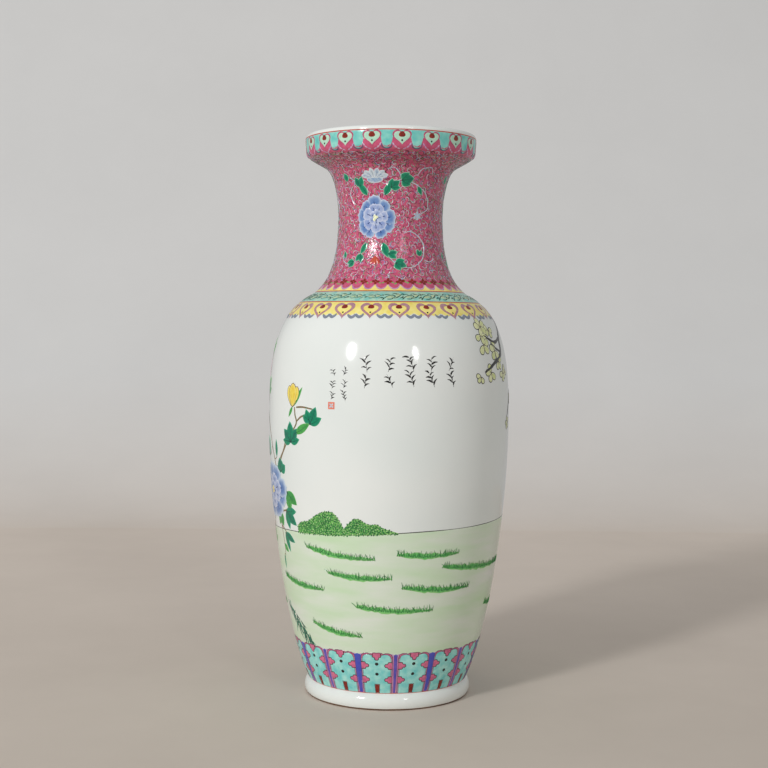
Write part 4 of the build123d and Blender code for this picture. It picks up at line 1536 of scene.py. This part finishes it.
def paintBlossoms(setup):
    girth = setup["girth"]
    wood, petals, line, heart = newSheet(), newSheet(), newSheet(), newSheet()
    for run in setup["wood"]:
        path = smoothLine([(*spotAt(angle, height, girth), wide) for angle, height, wide in run], 5)
        knots = 1 + 0.16 * np.sin(np.arange(len(path)) * 1.9)
        addBrush(wood, path[:, :2], path[:, 2] * knots, 0.24, 0.24, tone=0.3)
    for number, (angle, height, size, count, turn) in enumerate(setup["flowers"]):
        x, y = spotAt(angle, height, girth)
        chance = Random(70 + number)
        for k in range(count):
            lean = turn + 360 * k / 5 + chance.uniform(-9, 9)
            spot = (x - size * 0.36 * sin(radians(lean)), y + size * 0.33 * cos(radians(lean)))
            petal = turned(petalLine(size * 0.6, size * 0.62, 1, 14), lean, 1, *spot)
            addPuddle(petals, petal, 0.16, 0.1 + 0.03 * (k % 2), tone=chance.uniform(0.2, 0.8), rimWidth=1.2)
            addBrush(line, petal, 1.15, 0.12, 0.16 + 0.03 * (k % 2), closed=True)
            tip = turned([(0, 0), (0.02 * size, 0.13 * size), (0, 0.26 * size)], lean, 1, x, y)
            addBrush(heart, tip, [0.35, 0.35, 0.6], 0.1, 0.28)
    for name, sheet, material, slotName in (("branchWood", wood, inkLine, "glazed_porcelain"),
                                            ("blossomPetals", petals, blossomGreen, "yellow_enamel"),
                                            ("blossomOutlines", line, inkLine, "glazed_porcelain"),
                                            ("blossomStamens", heart, brownLine, "red_enamel")):
        paintSheet(name, sheet, material, slotName, girth)
    print("blossom branch painted")


paintBlossoms(blossomBranch)


reeds = {
    "girth": 108,
    "from": (-72, 104), "to": (-51, 68),
    "count": 54, "length": (10, 21), "width": 3.9,
    "leans": (146, 168, 184, 196, 206, 216, 228, 240),
}


def paintReeds(setup):
    girth = setup["girth"]
    dark, green = newSheet(), newSheet()
    chance = Random(17)
    (a, top), (b, bottom) = setup["from"], setup["to"]
    bend = ((a + b) / 2 - 2, (top + bottom) / 2 + 3)
    stalk = smoothLine([spotAt(*spot, girth) for spot in ((a, top), bend, (b, bottom))], 6)
    addBrush(dark, stalk, tapered(len(stalk), 1.0, 0.5, 0.9), 0.14, 0.1)
    for k in range(setup["count"]):
        share = (k + chance.uniform(0.1, 0.9)) / setup["count"]
        angle = a + (b - a) * share + chance.uniform(-3, 3)
        height = top + (bottom - top) * share + chance.uniform(-3, 4)
        x, y = spotAt(angle, height, girth)
        lean = chance.choice(setup["leans"]) + chance.uniform(-6, 6)
        length = chance.uniform(*setup["length"]) * (0.5 + 0.5 * share)
        leaf = smoothLine(turned([(0, 0), (0.08 * length, 0.5 * length), (0, length)], lean, 1, x, y), 3)
        addBrush(dark if k % 3 else green, leaf, tapered(len(leaf), setup["width"], 0.4, 0.12, 0.35), 0.16,
                 0.1)
    paintSheet("reedLeaves", dark, inkGreen, "turquoise_enamel", girth)
    paintSheet("reedTips", green, leafGreen, "turquoise_enamel", girth)
    print("reeds painted")


paintReeds(reeds)


# Floor, backdrop and light
studio = {
    "floorReach": 1.19,        # metres from here on, as the studio isn't part of the vase
    "coveReach": 2.7,
    "coveHeight": 2.2,
    "squareness": 6,
    "sky": 0.42,
    # softbox: angle, lift, distance, width, height, power
    "softboxes": {"keySoftbox": (-38, 23, 4.6, 0.6, 0.84, 80), "fillSoftbox": (26, 22, 5.2, 0.5, 0.9, 16)},
    "shade": (-44, 18, 5.2, 2.4, 2.4, 46),       # a wide light that leaves no reflection
}


def addStudio(setup):
    across, rows, power = 128, 32, setup["squareness"]

    def ringAt(reach, height):
        spots = []
        for k in range(across):
            c, s = cos(2 * pi * k / across), sin(2 * pi * k / across)
            size = reach / (abs(c) ** power + abs(s) ** power) ** (1 / power)
            spots.append((size * c, size * s, height))
        return spots

    def stageMaterial(name):
        material, tree, shader = newMaterial(name, Roughness=0.8)
        cloud = ramp(tree, noiseOf(tree, 3, 6, rough=0.62), 0.3, 0.7)
        place = axesOf(tree, objectPlace(tree))
        # The floor is painted lighter towards the back: painted light that evens out how the lamps fall off
        near = blend(tree, cloud, plainColour(208, 197, 185), plainColour(200, 189, 177))
        far = blend(tree, cloud, plainColour(238, 225, 212), plainColour(230, 217, 204))
        ground = blend(tree, ramp(tree, place[1], -0.4, 1.15), near, far)
        paper = blend(tree, cloud, plainColour(222, 221, 219), plainColour(218, 217, 215))
        rise = calc(tree, "POWER", ramp(tree, place[2], 0, 0.28), 0.36)
        tree.links.new(blend(tree, rise, ground, paper), shader.inputs["Base Color"])
        # The backdrop glows faintly where it rises from the floor: painted light on the paper
        tree.links.new(blend(tree, rise, (0, 0, 0, 1), (1, 1, 1, 1)), shader.inputs["Emission Color"])
        shader.inputs["Emission Strength"].default_value = 0.07
        return material
    stageFinish = stageMaterial("paleStage")
    floor = meshObject("floor", [(0, 0, 0)] + ringAt(setup["floorReach"], 0),
                       faces=[(0, k + 1, (k + 1) % across + 1) for k in range(across)])
    points = []
    for row in range(rows + 1):
        turn = row / rows * pi / 2
        reach = setup["floorReach"] + (setup["coveReach"] - setup["floorReach"]) * sin(turn)
        points += ringAt(reach, setup["coveHeight"] * (1 - cos(turn)))
    faces = []
    for low in range(0, rows * across, across):
        high = low + across
        faces += [(low + k, low + (k + 1) % across, high + (k + 1) % across, high + k) for k in range(across)]
    cove = meshObject("backdrop", points, faces=faces)
    cove.data.shade_smooth()
    cove.visible_diffuse = cove.visible_glossy = False
    cove.visible_shadow = False
    for item in (floor, cove):
        item.data.materials.append(stageFinish)
    world = bpy.data.worlds.new("studioSky")
    world.use_nodes = True
    world.node_tree.nodes["Background"].inputs[0].default_value = (1, 1, 1, 1)
    world.node_tree.nodes["Background"].inputs[1].default_value = setup["sky"]
    bpy.context.scene.world = world
    lamps = {**setup["softboxes"], "shadeLight": setup["shade"]}
    for name, (azimuth, lift, distance, width, height, watts) in lamps.items():
        data = bpy.data.lights.new(name, "AREA")
        data.shape, data.size, data.size_y, data.energy = "ELLIPSE", width, height, watts
        lamp = bpy.data.objects.new(name, data)
        bpy.context.scene.collection.objects.link(lamp)
        a, e = radians(azimuth), radians(lift)
        back = Vector((sin(a) * cos(e), -cos(a) * cos(e), sin(e)))
        lamp.location = Vector((0, 0, 0.3)) + back * distance
        lamp.rotation_euler = back.to_track_quat("Z", "Y").to_euler()
        lamp.visible_glossy = name != "shadeLight"
    bpy.context.scene.view_settings.view_transform = "Standard"


addStudio(studio)

discard(wallGuide)
